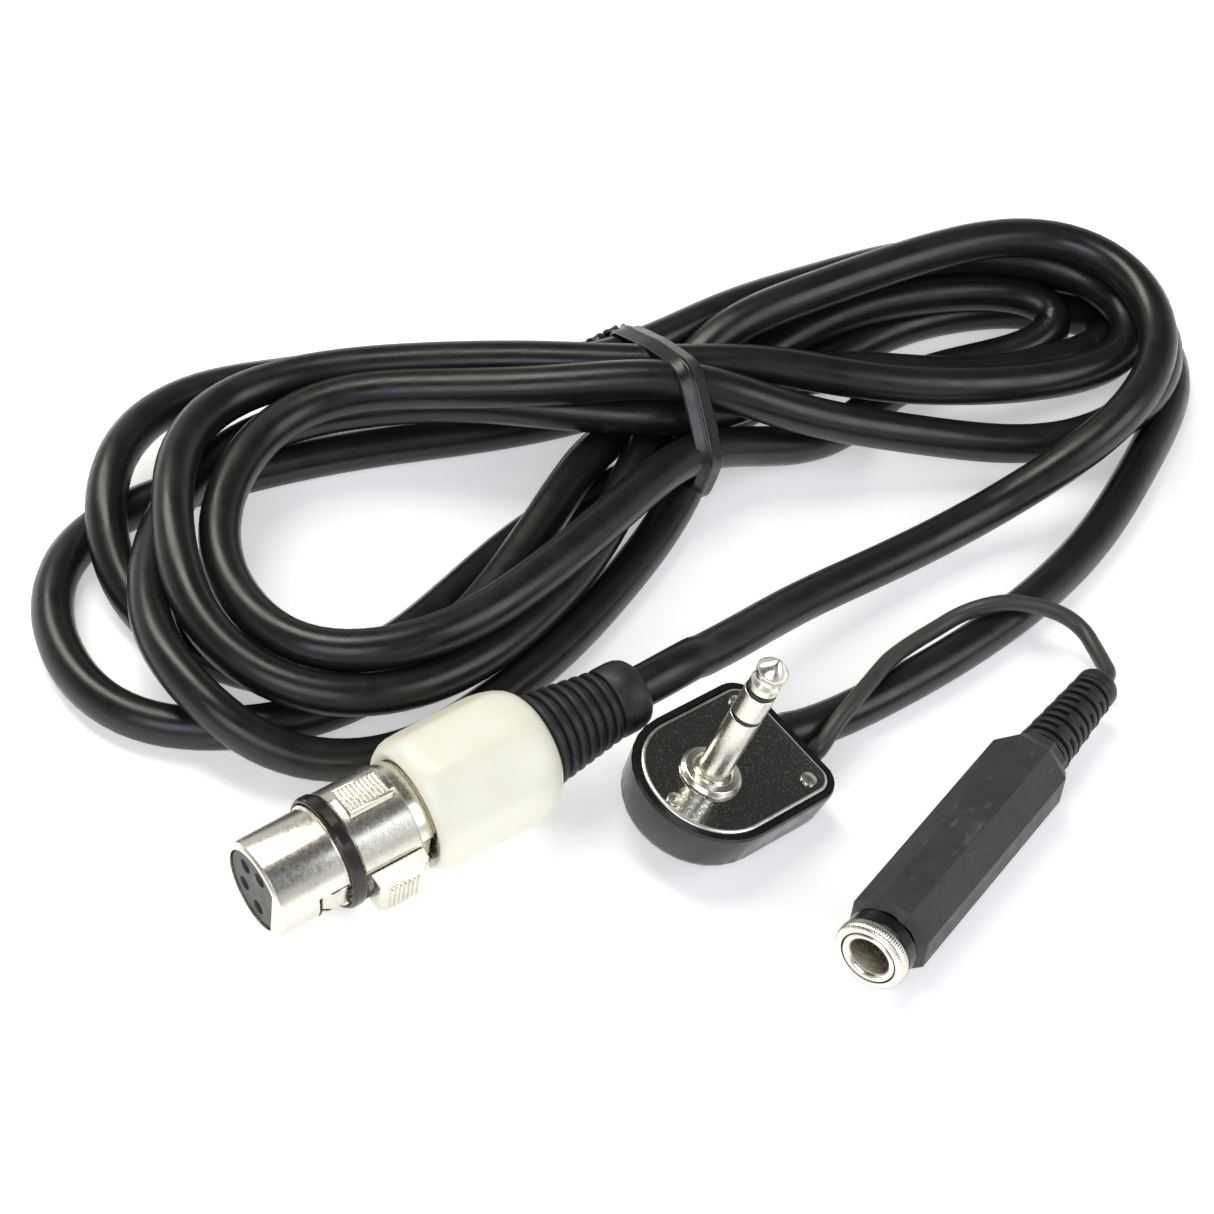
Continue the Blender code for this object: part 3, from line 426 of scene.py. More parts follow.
class Finish:
    """A Principled material under construction, with short calls for its usual detail."""

    def __init__(self, name, colour, roughness, metallic=0.0, coat=0.0, coat_roughness=0.1):
        self.material = bpy.data.materials.new(name)
        self.material.use_nodes = True
        self.tree = self.material.node_tree
        self.shader = self.tree.nodes["Principled BSDF"]
        self.shader.inputs["Base Color"].default_value = (*colour, 1.0)
        self.shader.inputs["Roughness"].default_value = roughness
        self.shader.inputs["Metallic"].default_value = metallic
        self.shader.inputs["Coat Weight"].default_value = coat
        self.shader.inputs["Coat Roughness"].default_value = coat_roughness
        self.colour = (*colour, 1.0)
        self.place = self.node("ShaderNodeTexCoord").outputs["Object"]
        self.bumps = None

    def node(self, kind, **settings):
        made = self.tree.nodes.new(kind)
        for name, value in settings.items():
            setattr(made, name, value)
        return made

    def link(self, start, end):
        self.tree.links.new(start, end)

    def noise(self, size, detail=4.0, stretch=(1, 1, 1)):
        """Noise whose features are about size millimetres across."""
        mapping = self.node("ShaderNodeMapping")
        mapping.inputs["Scale"].default_value = stretch
        self.link(self.place, mapping.inputs["Vector"])
        made = self.node("ShaderNodeTexNoise")
        made.inputs["Scale"].default_value = 1000.0 / size
        made.inputs["Detail"].default_value = detail
        self.link(mapping.outputs["Vector"], made.inputs["Vector"])
        return made.outputs["Fac"]

    def ranged(self, value, low, high, start, end):
        """The value from low to high, spread from start to end and held there beyond."""
        made = self.node("ShaderNodeMapRange")
        for name, number in zip(
            ("From Min", "From Max", "To Min", "To Max"), (low, high, start, end)
        ):
            made.inputs[name].default_value = number
        self.link(value, made.inputs["Value"])
        return made.outputs["Result"]

    def tint(self, value, colour):
        """Mixes in a colour where the value is high."""
        mix = self.node("ShaderNodeMix", data_type="RGBA")
        socket = self.shader.inputs["Base Color"]
        if socket.is_linked:
            self.link(socket.links[0].from_socket, mix.inputs[6])
        else:
            mix.inputs[6].default_value = self.colour
        mix.inputs[7].default_value = (*colour, 1.0)
        self.link(value, mix.inputs[0])
        self.link(mix.outputs[2], socket)
        return self

    def rough(self, value, low, high):
        self.link(self.ranged(value, 0.3, 0.7, low, high), self.shader.inputs["Roughness"])
        return self

    def bump(self, value, depth, strength=1.0):
        """Raises the surface by up to depth millimetres where the value is high."""
        made = self.node("ShaderNodeBump")
        made.inputs["Distance"].default_value = depth * MM
        made.inputs["Strength"].default_value = strength
        self.link(value, made.inputs["Height"])
        if self.bumps:
            self.link(self.bumps, made.inputs["Normal"])
        self.bumps = made.outputs["Normal"]
        self.link(self.bumps, self.shader.inputs["Normal"])
        return self

    def specks(self, size, share, colour):
        """Small spots of dust or scuffing."""
        spots = self.ranged(self.noise(size, 2.0), 1 - share - 0.06, 1 - share, 0.0, 1.0)
        return self.tint(spots, colour)


def floor_paper():
    paper = Finish("floor_paper", (0.9, 0.9, 0.9), 0.9)
    paper.shader.inputs["Emission Color"].default_value = (1.0, 1.0, 1.0, 1.0)
    paper.shader.inputs["Emission Strength"].default_value = FLOOR_GLOW
    return paper.tint(paper.ranged(paper.noise(60), 0.3, 0.7, 0, 1), (0.91, 0.91, 0.915)).material


def jacket_finish(name, colour, tint, roughness):
    """Satin cable jacket: slow shifts of shade, a fine moulded grain and a little dust."""
    jacket = Finish(name, colour, roughness)
    jacket.tint(jacket.ranged(jacket.noise(14), 0.35, 0.7, 0, 1), tint)
    jacket.specks(0.4, 0.19, (0.10, 0.10, 0.09))
    jacket.rough(jacket.noise(5), roughness - 0.05, roughness + 0.08)
    jacket.bump(jacket.noise(0.35, 3), 0.012)
    return jacket.bump(jacket.noise(6, 2), 0.06).material


def rubber_finish(name, colour, roughness=0.42):
    rubber = Finish(name, colour, roughness)
    rubber.tint(rubber.ranged(rubber.noise(4), 0.4, 0.7, 0, 1), tuple(1.6 * v for v in colour))
    rubber.rough(rubber.noise(1.5), roughness - 0.06, roughness + 0.14)
    rubber.specks(0.4, 0.22, (0.1, 0.1, 0.095))
    return rubber.bump(rubber.noise(0.5, 4), 0.03).material


def nickel_finish(name, colour=(0.86, 0.83, 0.74), roughness=0.24, grain=0.008):
    """Bright plated metal: faint stains, handling marks and a slightly uneven cast surface."""
    nickel = Finish(name, colour, roughness, 1.0)
    nickel.tint(nickel.ranged(nickel.noise(1.8, 6), 0.5, 0.8, 0, 1), tuple(0.86 * v for v in colour))
    nickel.specks(0.5, 0.2, tuple(0.6 * v for v in colour))
    nickel.rough(nickel.noise(0.6, 6), roughness - 0.02, roughness + 0.06)
    nickel.bump(nickel.noise(0.5, 3), grain)
    return nickel.bump(nickel.noise(2.5, 2), grain).material


def plate_finish_painted_dark():
    """The stamped plate's mirror: its dark grey colour is painted shade standing in for the dark reflection
    the plate shows, mottled darker still and freckled with small bright pits.
    """
    # Painted shade: the nickel's base colour is set dark grey for the dark reflection on the plate.
    plate = Finish("plate_nickel_painted_dark", (0.40, 0.40, 0.37), 0.12, 1.0)
    plate.tint(plate.ranged(plate.noise(0.5, 6), 0.44, 0.62, 0, 1), (0.26, 0.26, 0.245))
    plate.specks(0.45, 0.36, (0.75, 0.73, 0.64))
    plate.rough(plate.noise(0.5, 5), 0.08, 0.26)
    return plate.bump(plate.noise(0.45, 4), 0.004).material


def moulded_finish(name, colour, roughness, tint, grain=0.02, coat=0.0):
    """Moulded plastic with a fine grain and soft mottling."""
    plastic = Finish(name, colour, roughness, coat=coat)
    plastic.tint(plastic.ranged(plastic.noise(7), 0.4, 0.7, 0, 1), tint)
    plastic.rough(plastic.noise(2.5, 5), roughness - 0.06, roughness + 0.1)
    return plastic.bump(plastic.noise(0.4, 4), grain)


def brass_finish():
    brass = Finish("contact_brass", (0.74, 0.55, 0.26), 0.28, 1.0)
    brass.tint(brass.ranged(brass.noise(1.2, 5), 0.45, 0.7, 0, 1), (0.5, 0.34, 0.15))
    return brass.rough(brass.noise(0.8), 0.2, 0.45).material


def finishes():
    """Every material by the record's slot name, and a few more for single pieces."""
    barrel = moulded_finish(
        "barrel_plastic", (0.030, 0.030, 0.030), 0.48, (0.038, 0.038, 0.037), 0.02
    )
    barrel.tint(
        barrel.ranged(barrel.noise(1.6, 7, (1, 0.35, 1)), 0.60, 0.74, 0, 0.6), (0.11, 0.11, 0.105)
    )
    cup = moulded_finish("cup_plastic", (0.008, 0.008, 0.008), 0.2, (0.011, 0.011, 0.011), 0.008)
    cup.specks(0.5, 0.22, (0.09, 0.09, 0.085))
    insert = moulded_finish("insert_plastic", (0.075, 0.075, 0.072), 0.5, (0.095, 0.095, 0.09))
    ring = moulded_finish("ring_plastic", (0.022, 0.016, 0.014), 0.16, (0.03, 0.022, 0.02), 0.01)
    cover = moulded_finish(
        "cover_plastic", (0.90, 0.885, 0.76), 0.36, (0.87, 0.85, 0.71), 0.01, 0.1
    )
    cover.shader.inputs["Subsurface Weight"].default_value = 0.12
    cover.shader.inputs["Subsurface Scale"].default_value = 0.002
    tie = moulded_finish("tie_plastic", (0.009, 0.009, 0.009), 0.24, (0.012, 0.012, 0.012), 0.015)
    phenolic = moulded_finish("phenolic", (0.2, 0.09, 0.035), 0.5, (0.14, 0.06, 0.02))
    return {
        "nickel": nickel_finish("nickel"),
        # A brighter copy of the nickel for the plate's bevel: a painted highlight where light catches the
        # rim.
        "rim_nickel_painted_highlight": nickel_finish("rim_nickel_painted_highlight", (0.95, 0.93, 0.86), 0.3, 0.004),
        # The plate's dark grey is a painted dark reflection.
        "plate": plate_finish_painted_dark(),
        "brass": brass_finish(),
        "cream_plastic": cover.material,
        "black_plastic": cup.material,
        "ring_plastic": ring.material,
        "matte_black_plastic": barrel.material,
        "grey_plastic": insert.material,
        "black_rubber": rubber_finish("black_rubber", (0.012, 0.012, 0.012)),
        "cable_jacket": jacket_finish("cable_jacket", (0.0085, 0.0085, 0.0078), (0.012, 0.012, 0.0105), 0.29),
        "branch_jacket": jacket_finish("branch_jacket", (0.038, 0.039, 0.034), (0.05, 0.051, 0.045), 0.4),
        "tie_plastic": tie.material,
        "phenolic": phenolic.material,
    }


# ---------------------------------------------------------------- piece helpers

def add_piece(name, mesh, frame, material, sharp=35.0):
    """Makes an object from mesh data that is in metres in the frame's own axes."""
    bmesh.ops.transform(mesh, matrix=frame, verts=mesh.verts)
    bmesh.ops.recalc_face_normals(mesh, faces=mesh.faces)
    data = bpy.data.meshes.new(name)
    mesh.to_mesh(data)
    mesh.free()
    data.shade_smooth()
    data.set_sharp_from_angle(angle=math.radians(sharp))
    data.materials.append(material)
    made = bpy.data.objects.new(name, data)
    bpy.context.scene.collection.objects.link(made)
    return made


def belongs(piece, body, slot, *replaced):
    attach(piece, body)
    if replaced:
        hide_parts(*replaced)
    return piece


def lathe(name, outline, frame, material, sides=72, wave=None, sharp=35.0):
    """A closed body turned about Z from a closed outline of (radius, height). wave(angle, radius,
    height) gives each point's own radius."""
    mesh = bmesh.new()
    rings = []
    for radius, height in outline:
        if radius <= 0:
            rings.append([mesh.verts.new((0, 0, height * MM))])
            continue
        ring = []
        for index in range(sides):
            angle = 2 * math.pi * index / sides
            here = wave(angle, radius, height) if wave else radius
            ring.append(
                mesh.verts.new((here * math.cos(angle) * MM, here * math.sin(angle) * MM, height * MM))
            )
        rings.append(ring)
    for low, high in zip(rings, rings[1:] + rings[:1]):
        if len(low) == 1 and len(high) == 1:
            continue
        for index in range(sides):
            after = (index + 1) % sides
            if len(low) == 1:
                mesh.faces.new((low[0], high[after], high[index]))
            elif len(high) == 1:
                mesh.faces.new((low[index], low[after], high[0]))
            else:
                mesh.faces.new((low[index], low[after], high[after], high[index]))
    return add_piece(name, mesh, frame, material, sharp)


def loft(name, loops, frame, material, closed=True, capped=True, sharp=35.0):
    """A body through loops of 3D points in millimetres, each joined to the next."""
    mesh = bmesh.new()
    rings = [[mesh.verts.new(Vector(point) * MM) for point in loop] for loop in loops]
    for low, high in zip(rings, rings[1:]):
        count = len(low)
        for index in range(count if closed else count - 1):
            after = (index + 1) % count
            mesh.faces.new((low[index], low[after], high[after], high[index]))
    if capped:
        mesh.faces.new(rings[0])
        mesh.faces.new(rings[-1])
    return add_piece(name, mesh, frame, material, sharp)


def bar(mesh, matrix, size, corner):
    """Adds a small box with bevelled edges to a mesh. size is its full size in millimetres."""
    made = bmesh.ops.create_cube(mesh, size=1.0)
    verts = made["verts"]
    scale = Matrix.Diagonal((*[v * MM for v in size], 1.0))
    bmesh.ops.transform(mesh, matrix=scale, verts=verts)
    edges = list({edge for vert in verts for edge in vert.link_edges})
    made = bmesh.ops.bevel(
        mesh, geom=edges, offset=corner * MM, segments=2, profile=0.5, affect="EDGES"
    )
    verts = {v for face in made["faces"] for v in face.verts} | {v for v in verts if v.is_valid}
    bmesh.ops.transform(mesh, matrix=matrix, verts=list(verts))


def polished(frame, node, material, body, slot, bevel=0.12, sharp=32.0):
    """A smooth-shaded copy of a CAD node with its edges slightly rounded, which stands for it."""
    source = frame["nodes"][node]
    mesh = bmesh.new()
    mesh.from_mesh(source.data)
    bmesh.ops.remove_doubles(mesh, verts=mesh.verts, dist=1e-6)
    bmesh.ops.dissolve_limit(
        mesh, angle_limit=math.radians(0.6), verts=mesh.verts, edges=mesh.edges
    )
    piece = add_piece(f"{node}_shape", mesh, Matrix.Identity(4), material, sharp)
    if bevel:
        edge = piece.modifiers.new("soft_edges", "BEVEL")
        edge.width = bevel * MM
        edge.segments = 2
        edge.limit_method = "ANGLE"
        edge.angle_limit = math.radians(sharp)
        edge.harden_normals = False
    return belongs(piece, body, slot, node)


# ---------------------------------------------------------------- cables

def cables(finish):
    line = main_line()
    main_cable = cable("main_cable", line, MAIN_RADIUS, finish["cable_jacket"])
    belongs(
        main_cable, ROOT, "cable_jacket", "cable_hank", "cable_xlr_lead", "cable_plug_lead"
    )
    branch = even(
        smooth(
            [
                at(PLUG, CUP_END + 0.3, BRANCH_ENTRY_SIDE, -ENTRY_DEPTH),
                at(PLUG, CUP_END + 3, BRANCH_ENTRY_SIDE, -ENTRY_DEPTH),
                *BRANCH,
                at(SOCKET, 0, 0, SOCKET_LENGTH + 3),
                at(SOCKET, 0, 0, SOCKET_LENGTH + 0.2),
            ],
            0.5,
        ),
        1.0,
    )
    branch_cable = cable("branch", branch, BRANCH_RADIUS, finish["branch_jacket"])
    belongs(branch_cable, ROOT, "branch_jacket", "branch_cable")
    print("main cable", round(length_of(line)), "mm, branch", round(length_of(branch)), "mm")
    return line


# ---------------------------------------------------------------- tie

def hull(points):
    """The convex outline round some plane points, anticlockwise."""
    points = sorted(set(points))

    def half(order):
        kept = []
        for point in order:
            while len(kept) > 1:
                (ax, ay), (bx, by) = kept[-2], kept[-1]
                if (bx - ax) * (point[1] - ay) - (by - ay) * (point[0] - ax) > 0:
                    break
                kept.pop()
            kept.append(point)
        return kept[:-1]

    return half(points) + half(points[::-1])


def tie_loop(line):
    """The tie's inner line: it hugs the strands that cross the waist plane."""
    heading = math.radians(BUNDLE_HEADING)
    along = np.array((math.cos(heading), math.sin(heading), 0))
    across = np.array((math.sin(heading), -math.cos(heading), 0))
    distance = (line - np.array(WAIST)) @ along
    circles = []
    for index in np.nonzero(distance[:-1] * distance[1:] < 0)[0]:
        share = distance[index] / (distance[index] - distance[index + 1])
        place = line[index] * (1 - share) + line[index + 1] * share
        side = float((place - np.array(WAIST)) @ across)
        if abs(side) > 22:
            continue
        for number in range(32):
            angle = 2 * math.pi * number / 32
            reach = MAIN_RADIUS + 0.2
            height = place[2] + reach * math.sin(angle)
            circles.append((side + reach * math.cos(angle), max(height, 0.25)))
    outline = np.array(hull([(round(a, 4), round(b, 4)) for a, b in circles]))
    closed = np.vstack([outline, outline[:1]])
    run = np.concatenate([[0], np.cumsum(np.linalg.norm(np.diff(closed, axis=0), axis=1))])
    wanted = np.linspace(0, run[-1], 161)[:-1]
    points = np.stack([np.interp(wanted, run, closed[:, k]) for k in range(2)], axis=1)
    for _ in range(9):
        points = 0.5 * points + 0.25 * (np.roll(points, 1, axis=0) + np.roll(points, -1, axis=0))
    return points, along, across


def tie(line, finish):
    """A plastic-covered wire tie: a flat strip with a wire rib, and its two twisted ends."""
    points, along, across = tie_loop(line)
    step = np.roll(points, -1, axis=0) - np.roll(points, 1, axis=0)
    out = np.stack([step[:, 1], -step[:, 0]], axis=1)
    out /= np.linalg.norm(out, axis=1)[:, None]
    half, thick = TIE_WIDTH / 2, TIE_THICKNESS
    section = (
        (-half, 0.05), (-half, 0.35 * thick), (-half + 0.25, 0.55 * thick), (-0.75, 0.6 * thick),
        (-0.5, 0.85 * thick), (-0.2, thick), (0.2, thick), (0.5, 0.85 * thick),
        (0.75, 0.6 * thick), (half - 0.25, 0.55 * thick), (half, 0.35 * thick), (half, 0.05),
    )
    loops = []
    for number in range(len(points)):
        turn = 2 * math.pi * number / len(points)
        lean = 0.5 * math.sin(turn) + 0.35 * math.sin(2 * turn + 0.8)
        loop = []
        for width, height in section:
            side, up = points[number] + out[number] * height
            place = np.array(WAIST) + along * (width + lean) + across * side
            loop.append((place[0], place[1], max(up, 0.08)))
        loops.append(loop)
    mesh = bmesh.new()
    rings = [[mesh.verts.new(Vector(point) * MM) for point in loop] for loop in loops]
    for low, high in zip(rings, rings[1:] + rings[:1]):
        for index in range(len(section)):
            after = (index + 1) % len(section)
            mesh.faces.new((low[index], low[after], high[after], high[index]))
    strip = add_piece("tie_band", mesh, Matrix.Identity(4), finish["tie_plastic"], 50)
    belongs(strip, ROOT, "tie_plastic", "tie_strip")

    # The twist starts at the band's top left corner and lies along the bundle's far side.
    corner = points[np.argmax(points[:, 1] * 0.6 - points[:, 0])]
    base = np.array(WAIST) + across * corner[0]
    spine = smooth(
        [
            (*(base + across * 0.6)[:2], corner[1] + 0.1),
            (*(base - across * 0.9 - along * 0.6)[:2], corner[1] - 0.5),
            (*(base - across * 1.9 - along * 2.4)[:2], corner[1] - 2.0),
            (*(base - across * 2.5 - along * 4.8)[:2], corner[1] - 3.6),
            (*(base - across * 2.9 - along * 7.4)[:2], corner[1] - 5.0),
        ],
        0.35,
    )
    spine = [np.array(point) for point in spine]
    loops = ([], [])
    for number, place in enumerate(spine):
        ahead = spine[min(number + 1, len(spine) - 1)] - spine[max(number - 1, 0)]
        ahead /= np.linalg.norm(ahead)
        side = np.cross(ahead, (0.3, 0.9, 0.2))
        side /= np.linalg.norm(side)
        other = np.cross(ahead, side)
        turn = number * 0.34
        for which in range(2):
            centre_turn = turn + math.pi * which
            middle = place + 0.75 * (math.cos(centre_turn) * side + math.sin(centre_turn) * other)
            wide = -math.sin(centre_turn) * side + math.cos(centre_turn) * other
            thin = math.cos(centre_turn) * side + math.sin(centre_turn) * other
            loop = []
            for index in range(12):
                angle = 2 * math.pi * index / 12
                loop.append(middle + 1.25 * math.cos(angle) * wide + 0.55 * math.sin(angle) * thin)
            loops[which].append(loop)
    tails = [
        loft(f"tie_tail_{which + 1}", loops[which], Matrix.Identity(4), finish["tie_plastic"], sharp=60)
        for which in range(2)
    ]
    for tail in tails:
        belongs(tail, ROOT, "tie_plastic", "tie_twist")


# ---------------------------------------------------------------- XLR connector

def cover_section(angle, corner, roundness):
    """The radius at an angle of an octagon with round corners. roundness is 1 for a circle."""
    eighth = math.pi / 4
    turned_by = (angle - math.radians(COVER_TURN)) % eighth - eighth / 2
    flat = COVER_RADIUS / math.cos(turned_by)
    sharp = min(flat, COVER_RADIUS * 1.045)
    blend = (1 / (1 / flat**24 + 1 / (COVER_RADIUS * 1.05) ** 24)) ** (1 / 24)
    shape = 0.5 * (sharp + blend) / COVER_RADIUS
    return corner * (1 + (shape - 1) * (1 - roundness))


def xlr_cover(finish):
    """The cream rear cover: eight flats with soft corners that run out in a rounded back."""
    rows = (
        (27.1, 9.35, 1.0), (27.0, 9.6, 1.0), (27.15, 9.95, 0.9), (27.8, 10.35, 0.7),
        (28.8, 10.75, 0.35), (30.0, 10.95, 0.1), (32.0, 11.0, 0.0), (43.5, 11.0, 0.0),
        (45.2, 10.97, 0.12), (46.6, 10.8, 0.3), (48.0, 10.4, 0.55), (49.2, 9.8, 0.75),
        (50.2, 8.95, 0.9), (50.8, 8.1, 1.0), (51.1, 7.2, 1.0), (51.1, 6.2, 1.0),
        (50.6, 5.75, 1.0), (49.4, 5.75, 1.0), (49.0, 6.6, 1.0), (38.5, 6.6, 1.0),
        (37.5, 8.45, 1.0), (27.6, 8.45, 1.0),
    )
    sides = 160
    loops = []
    for height, radius, roundness in rows:
        loop = []
        for index in range(sides):
            angle = 2 * math.pi * index / sides
            here = cover_section(angle, radius, roundness)
            loop.append((here * math.cos(angle), here * math.sin(angle), height))
        loops.append(loop)
    mesh = bmesh.new()
    rings = [[mesh.verts.new(Vector(point) * MM) for point in loop] for loop in loops]
    for low, high in zip(rings, rings[1:] + rings[:1]):
        for index in range(sides):
            after = (index + 1) % sides
            mesh.faces.new((low[index], low[after], high[after], high[index]))
    cover = add_piece("rear_cover", mesh, XLR, finish["cream_plastic"], 60)
    belongs(cover, ROOT, "cream_plastic", "xlr_cover")


def boot_outline(front, back, front_radius, back_radius, ridges, depth, bore, tail):
    """Rounded ridges with grooves between, along a tapering boot."""
    pitch = (back - front) / ridges
    points = []
    for index in range(ridges):
        start = front + index * pitch
        outer = front_radius + (back_radius - front_radius) * index / (ridges - 1)
        for share, drop in (
            (0.0, 0.75), (0.06, 0.25), (0.16, 0.04), (0.34, 0.0), (0.52, 0.04), (0.62, 0.25),
            (0.68, 0.7), (0.74, 1.0), (0.94, 1.0),
        ):
            points.append((outer - depth * drop, start + pitch * share))
    seat = front_radius - 2.3
    inside = [(bore, tail[-1][1]), (bore, front - 4.5), (seat, front - 4.5), (seat, front)]
    return points + tail + inside


def xlr_boot(finish):
    tail = [
        (5.75, 64.7), (5.95, 65.1), (5.95, 67.6), (5.8, 68.8), (5.4, 69.7), (4.8, 70.3),
        (4.2, 70.5),
    ]
    outline = boot_outline(51.35, 64.6, 7.7, 6.1, 7, 0.95, MAIN_RADIUS + 0.12, tail)
    boot = lathe("ridged_boot", outline, XLR, finish["black_rubber"], 72)
    belongs(boot, ROOT, "black_rubber", "xlr_boot")


def grip_pads(finish):
    """Ribbed grip pads on the housing and the ribs on the latch's button."""
    for number, angle in enumerate((98, 143, -98)):
        mesh = bmesh.new()
        turn = Matrix.Rotation(math.radians(angle), 4, "Z")
        for index in range(10):
            place = Matrix.Translation(Vector((9.72, 0, 16.35 + 0.72 * index)) * MM)
            bar(mesh, turn @ place, (0.5, 4.4, 0.36), 0.1)
        for side in (-2.45, 2.45):
            place = Matrix.Translation(Vector((9.62, side, 19.6)) * MM)
            bar(mesh, turn @ place, (0.6, 0.35, 7.6), 0.1)
        ribs = add_piece(f"grip_ribs_{number + 1}", mesh, XLR, finish["nickel"])
        belongs(ribs, ROOT, "nickel")
    mesh = bmesh.new()
    for index in range(7):
        place = Matrix.Translation(Vector((11.9, 0, 16.7 + 0.8 * index)) * MM)
        bar(mesh, place, (0.5, 5.2, 0.4), 0.12)
    ribs = add_piece("latch_ribs", mesh, XLR, finish["nickel"])
    belongs(ribs, "latch", "nickel")


# ---------------------------------------------------------------- flat plug

def arc(centre, radius, start, end, steps):
    """Points along an arc, from the start angle to the end angle."""
    points = []
    for index in range(steps + 1):
        angle = math.radians(start + (end - start) * index / steps)
        points.append(
            (centre[0] + radius * math.cos(angle), centre[1] + radius * math.sin(angle))
        )
    return points


def cup_outline(inset):
    """The flat plug's plan: a half circle round the pin, straight sides, a rounded far end."""
    radius, corner = CUP_RADIUS - inset, CUP_CORNER - inset
    corner_x, corner_y = CUP_END - CUP_CORNER, CUP_RADIUS - CUP_CORNER
    return (
        arc((0, 0), radius, 90, 270, 48)
        + arc((corner_x, -corner_y), corner, 270, 345, 14)
        + arc((corner_x, corner_y), corner, 15, 90, 14)
    )


def plug_plate(finish):
    """The stamped plate: a mirror painted dark for its reflection, with a bevel round its edge in a brighter
    copy of the nickel, a painted highlight.
    """
    rows = ((1.42, -0.8), (1.42, -0.12), (1.47, 0.02), (1.62, 0.14), (1.9, 0.24), (2.02, 0.25))
    mesh = bmesh.new()
    rings = [
        [mesh.verts.new((x * MM, y * MM, height * MM)) for x, y in cup_outline(inset)]
        for inset, height in rows
    ]
    mesh.faces.new(rings[0])
    top = mesh.faces.new(rings[-1])
    for low, high in zip(rings, rings[1:]):
        for index in range(len(low)):
            after = (index + 1) % len(low)
            edge = mesh.faces.new((low[index], low[after], high[after], high[index]))
            edge.material_index = 1
    top.material_index = 0
    plate = add_piece("stamped_plate", mesh, PLUG, finish["plate"], 50)
    # The bevel gets the brighter nickel, a painted highlight.
    plate.data.materials.append(finish["rim_nickel_painted_highlight"])
    belongs(plate, ROOT, "nickel", "plug_plate")


# ---------------------------------------------------------------- in-line socket

def socket_parts(finish):
    """The knurled nut, the bush and the jointed strain relief."""
    teeth = 84

    def knurl(angle, radius, height):
        if radius < 5.95:
            return radius
        return radius - 0.11 * (0.5 + 0.5 * math.cos(teeth * angle))

    nut = lathe(
        "knurled_nut",
        (
            (4.75, 0.55), (4.75, 0.1), (4.95, -0.05), (5.45, -0.05), (5.75, 0.1), (5.98, 0.4),
            (6.1, 0.65), (6.1, 1.85), (5.98, 2.1), (5.75, 2.2), (4.75, 2.2),
        ),
        SOCKET, finish["nickel"], 4 * teeth, knurl, 50,
    )
    belongs(nut, ROOT, "nickel", "socket_nut")
    bush = lathe(
        "bush_shape",
        (
            (3.3, 11.0), (3.3, 0.75), (3.42, 0.4), (3.75, 0.05), (4.0, -0.05), (4.35, -0.02),
            (4.5, 0.15), (4.5, 11.0),
        ),
        SOCKET, finish["nickel"], 96,
    )
    belongs(bush, ROOT, "nickel", "socket_bush")
    collar = lathe(
        "collar_shape",
        (
            (4.75, 2.35), (5.75, 2.35), (5.9, 2.5), (5.9, 4.45), (5.78, 4.6), (4.75, 4.6),
        ),
        SOCKET, finish["black_plastic"], 96,
    )
    belongs(collar, ROOT, "black_plastic", "socket_collar")
    strain_relief(finish)


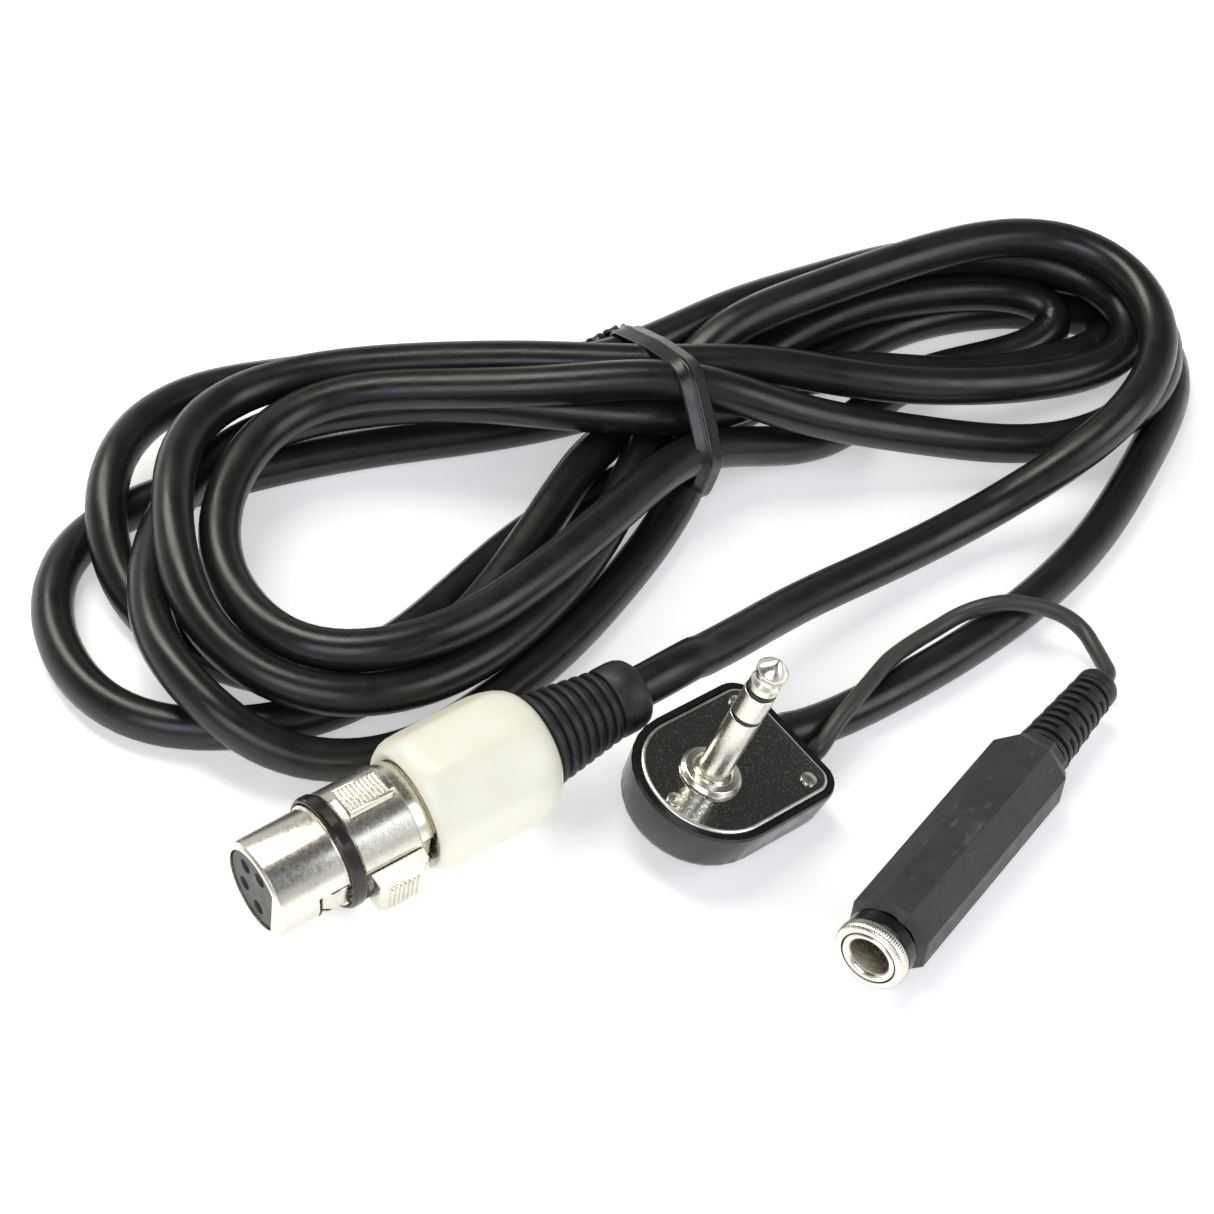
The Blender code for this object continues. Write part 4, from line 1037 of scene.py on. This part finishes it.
def strain_relief(finish):
    """The socket's boot: rings joined by short bridges that alternate from gap to gap, round a
    thin inner sleeve."""
    start, end, rings = 54.4, 72.9, 10
    pitch = (end - start) / rings
    bore = BRANCH_RADIUS + 0.15
    mesh = bmesh.new()

    def closed_ring(outline, sides=56):
        loops = []
        for radius, height in outline:
            loops.append(
                [
                    mesh.verts.new(
                        (
                            radius * math.cos(2 * math.pi * n / sides) * MM,
                            radius * math.sin(2 * math.pi * n / sides) * MM,
                            height * MM,
                        )
                    )
                    for n in range(sides)
                ]
            )
        for low, high in zip(loops, loops[1:] + loops[:1]):
            for index in range(sides):
                after = (index + 1) % sides
                mesh.faces.new((low[index], low[after], high[after], high[index]))

    closed_ring([(bore, 47.6), (3.0, 47.6), (3.0, 54.2), (2.9, 73.2), (bore, 73.2)])
    for index in range(rings):
        low = start + index * pitch
        outer = 4.55 - 0.9 * index / (rings - 1)
        high = low + pitch * 0.56
        closed_ring(
            [
                (2.85, low), (outer - 0.25, low), (outer - 0.06, low + 0.1),
                (outer, low + 0.3), (outer, high - 0.3), (outer - 0.06, high - 0.1),
                (outer - 0.25, high), (2.85, high),
            ]
        )
        if index == rings - 1:
            continue
        for half in range(2):
            angle = math.pi * half + (math.pi / 2 if index % 2 else 0.0)
            turn = Matrix.Rotation(angle + math.radians(28), 4, "Z")
            place = Matrix.Translation(Vector((outer - 0.75, 0, low + pitch * 0.78)) * MM)
            bar(mesh, turn @ place, (1.3, 2.6, pitch * 0.62), 0.12)
    closed_ring(
        [
            (bore, 72.2), (3.55, 72.2), (3.65, 72.6), (3.6, 73.9), (3.35, 74.4), (2.9, 74.6),
            (bore, 74.6),
        ]
    )
    boot = add_piece("jointed_boot", mesh, SOCKET, finish["black_rubber"])
    belongs(boot, ROOT, "black_rubber", "socket_boot")


# ---------------------------------------------------------------- all pieces

# CAD node, material, body, slot, edge rounding in millimetres
SHAPES = (
    ("xlr_shell", "nickel", ROOT, "nickel", 0.14),
    ("xlr_latch", "nickel", "latch", "nickel", 0.14),
    ("xlr_insert", "grey_plastic", ROOT, "grey_plastic", 0.1),
    ("xlr_coding_ring", "ring_plastic", ROOT, "black_plastic", 0.12),
    ("plug_cup", "black_plastic", ROOT, "black_plastic", 0.22),
    ("plug_sleeve", "nickel", ROOT, "nickel", 0.06),
    ("plug_ring", "nickel", ROOT, "nickel", 0.08),
    ("plug_tip", "nickel", ROOT, "nickel", 0.08),
    ("plug_ring_insulator", "black_plastic", ROOT, "black_plastic", 0.05),
    ("plug_tip_insulator", "black_plastic", ROOT, "black_plastic", 0.05),
    ("plug_rivet_1", "nickel", ROOT, "nickel", 0.05),
    ("plug_rivet_2", "nickel", ROOT, "nickel", 0.05),
    ("plug_rivet_3", "nickel", ROOT, "nickel", 0.05),
    ("socket_barrel", "matte_black_plastic", ROOT, "matte_black_plastic", 0.3),
)


def main():
    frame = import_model()
    finish = finishes()
    camera()
    stage()
    for material in frame["record"]["materials"]:
        slot = material["slot"]
        for part in frame["record"]["subparts"]:
            if part["material_slot"] == slot and part["node"] in frame["nodes"]:
                data = frame["nodes"][part["node"]].data
                data.materials.clear()
                data.materials.append(finish[slot])
    line = cables(finish)
    tie(line, finish)
    xlr_cover(finish)
    xlr_boot(finish)
    grip_pads(finish)
    socket_parts(finish)
    for node, material, body, slot, bevel in SHAPES:
        polished(frame, node, finish[material], body, slot, bevel)
    plug_plate(finish)


main()
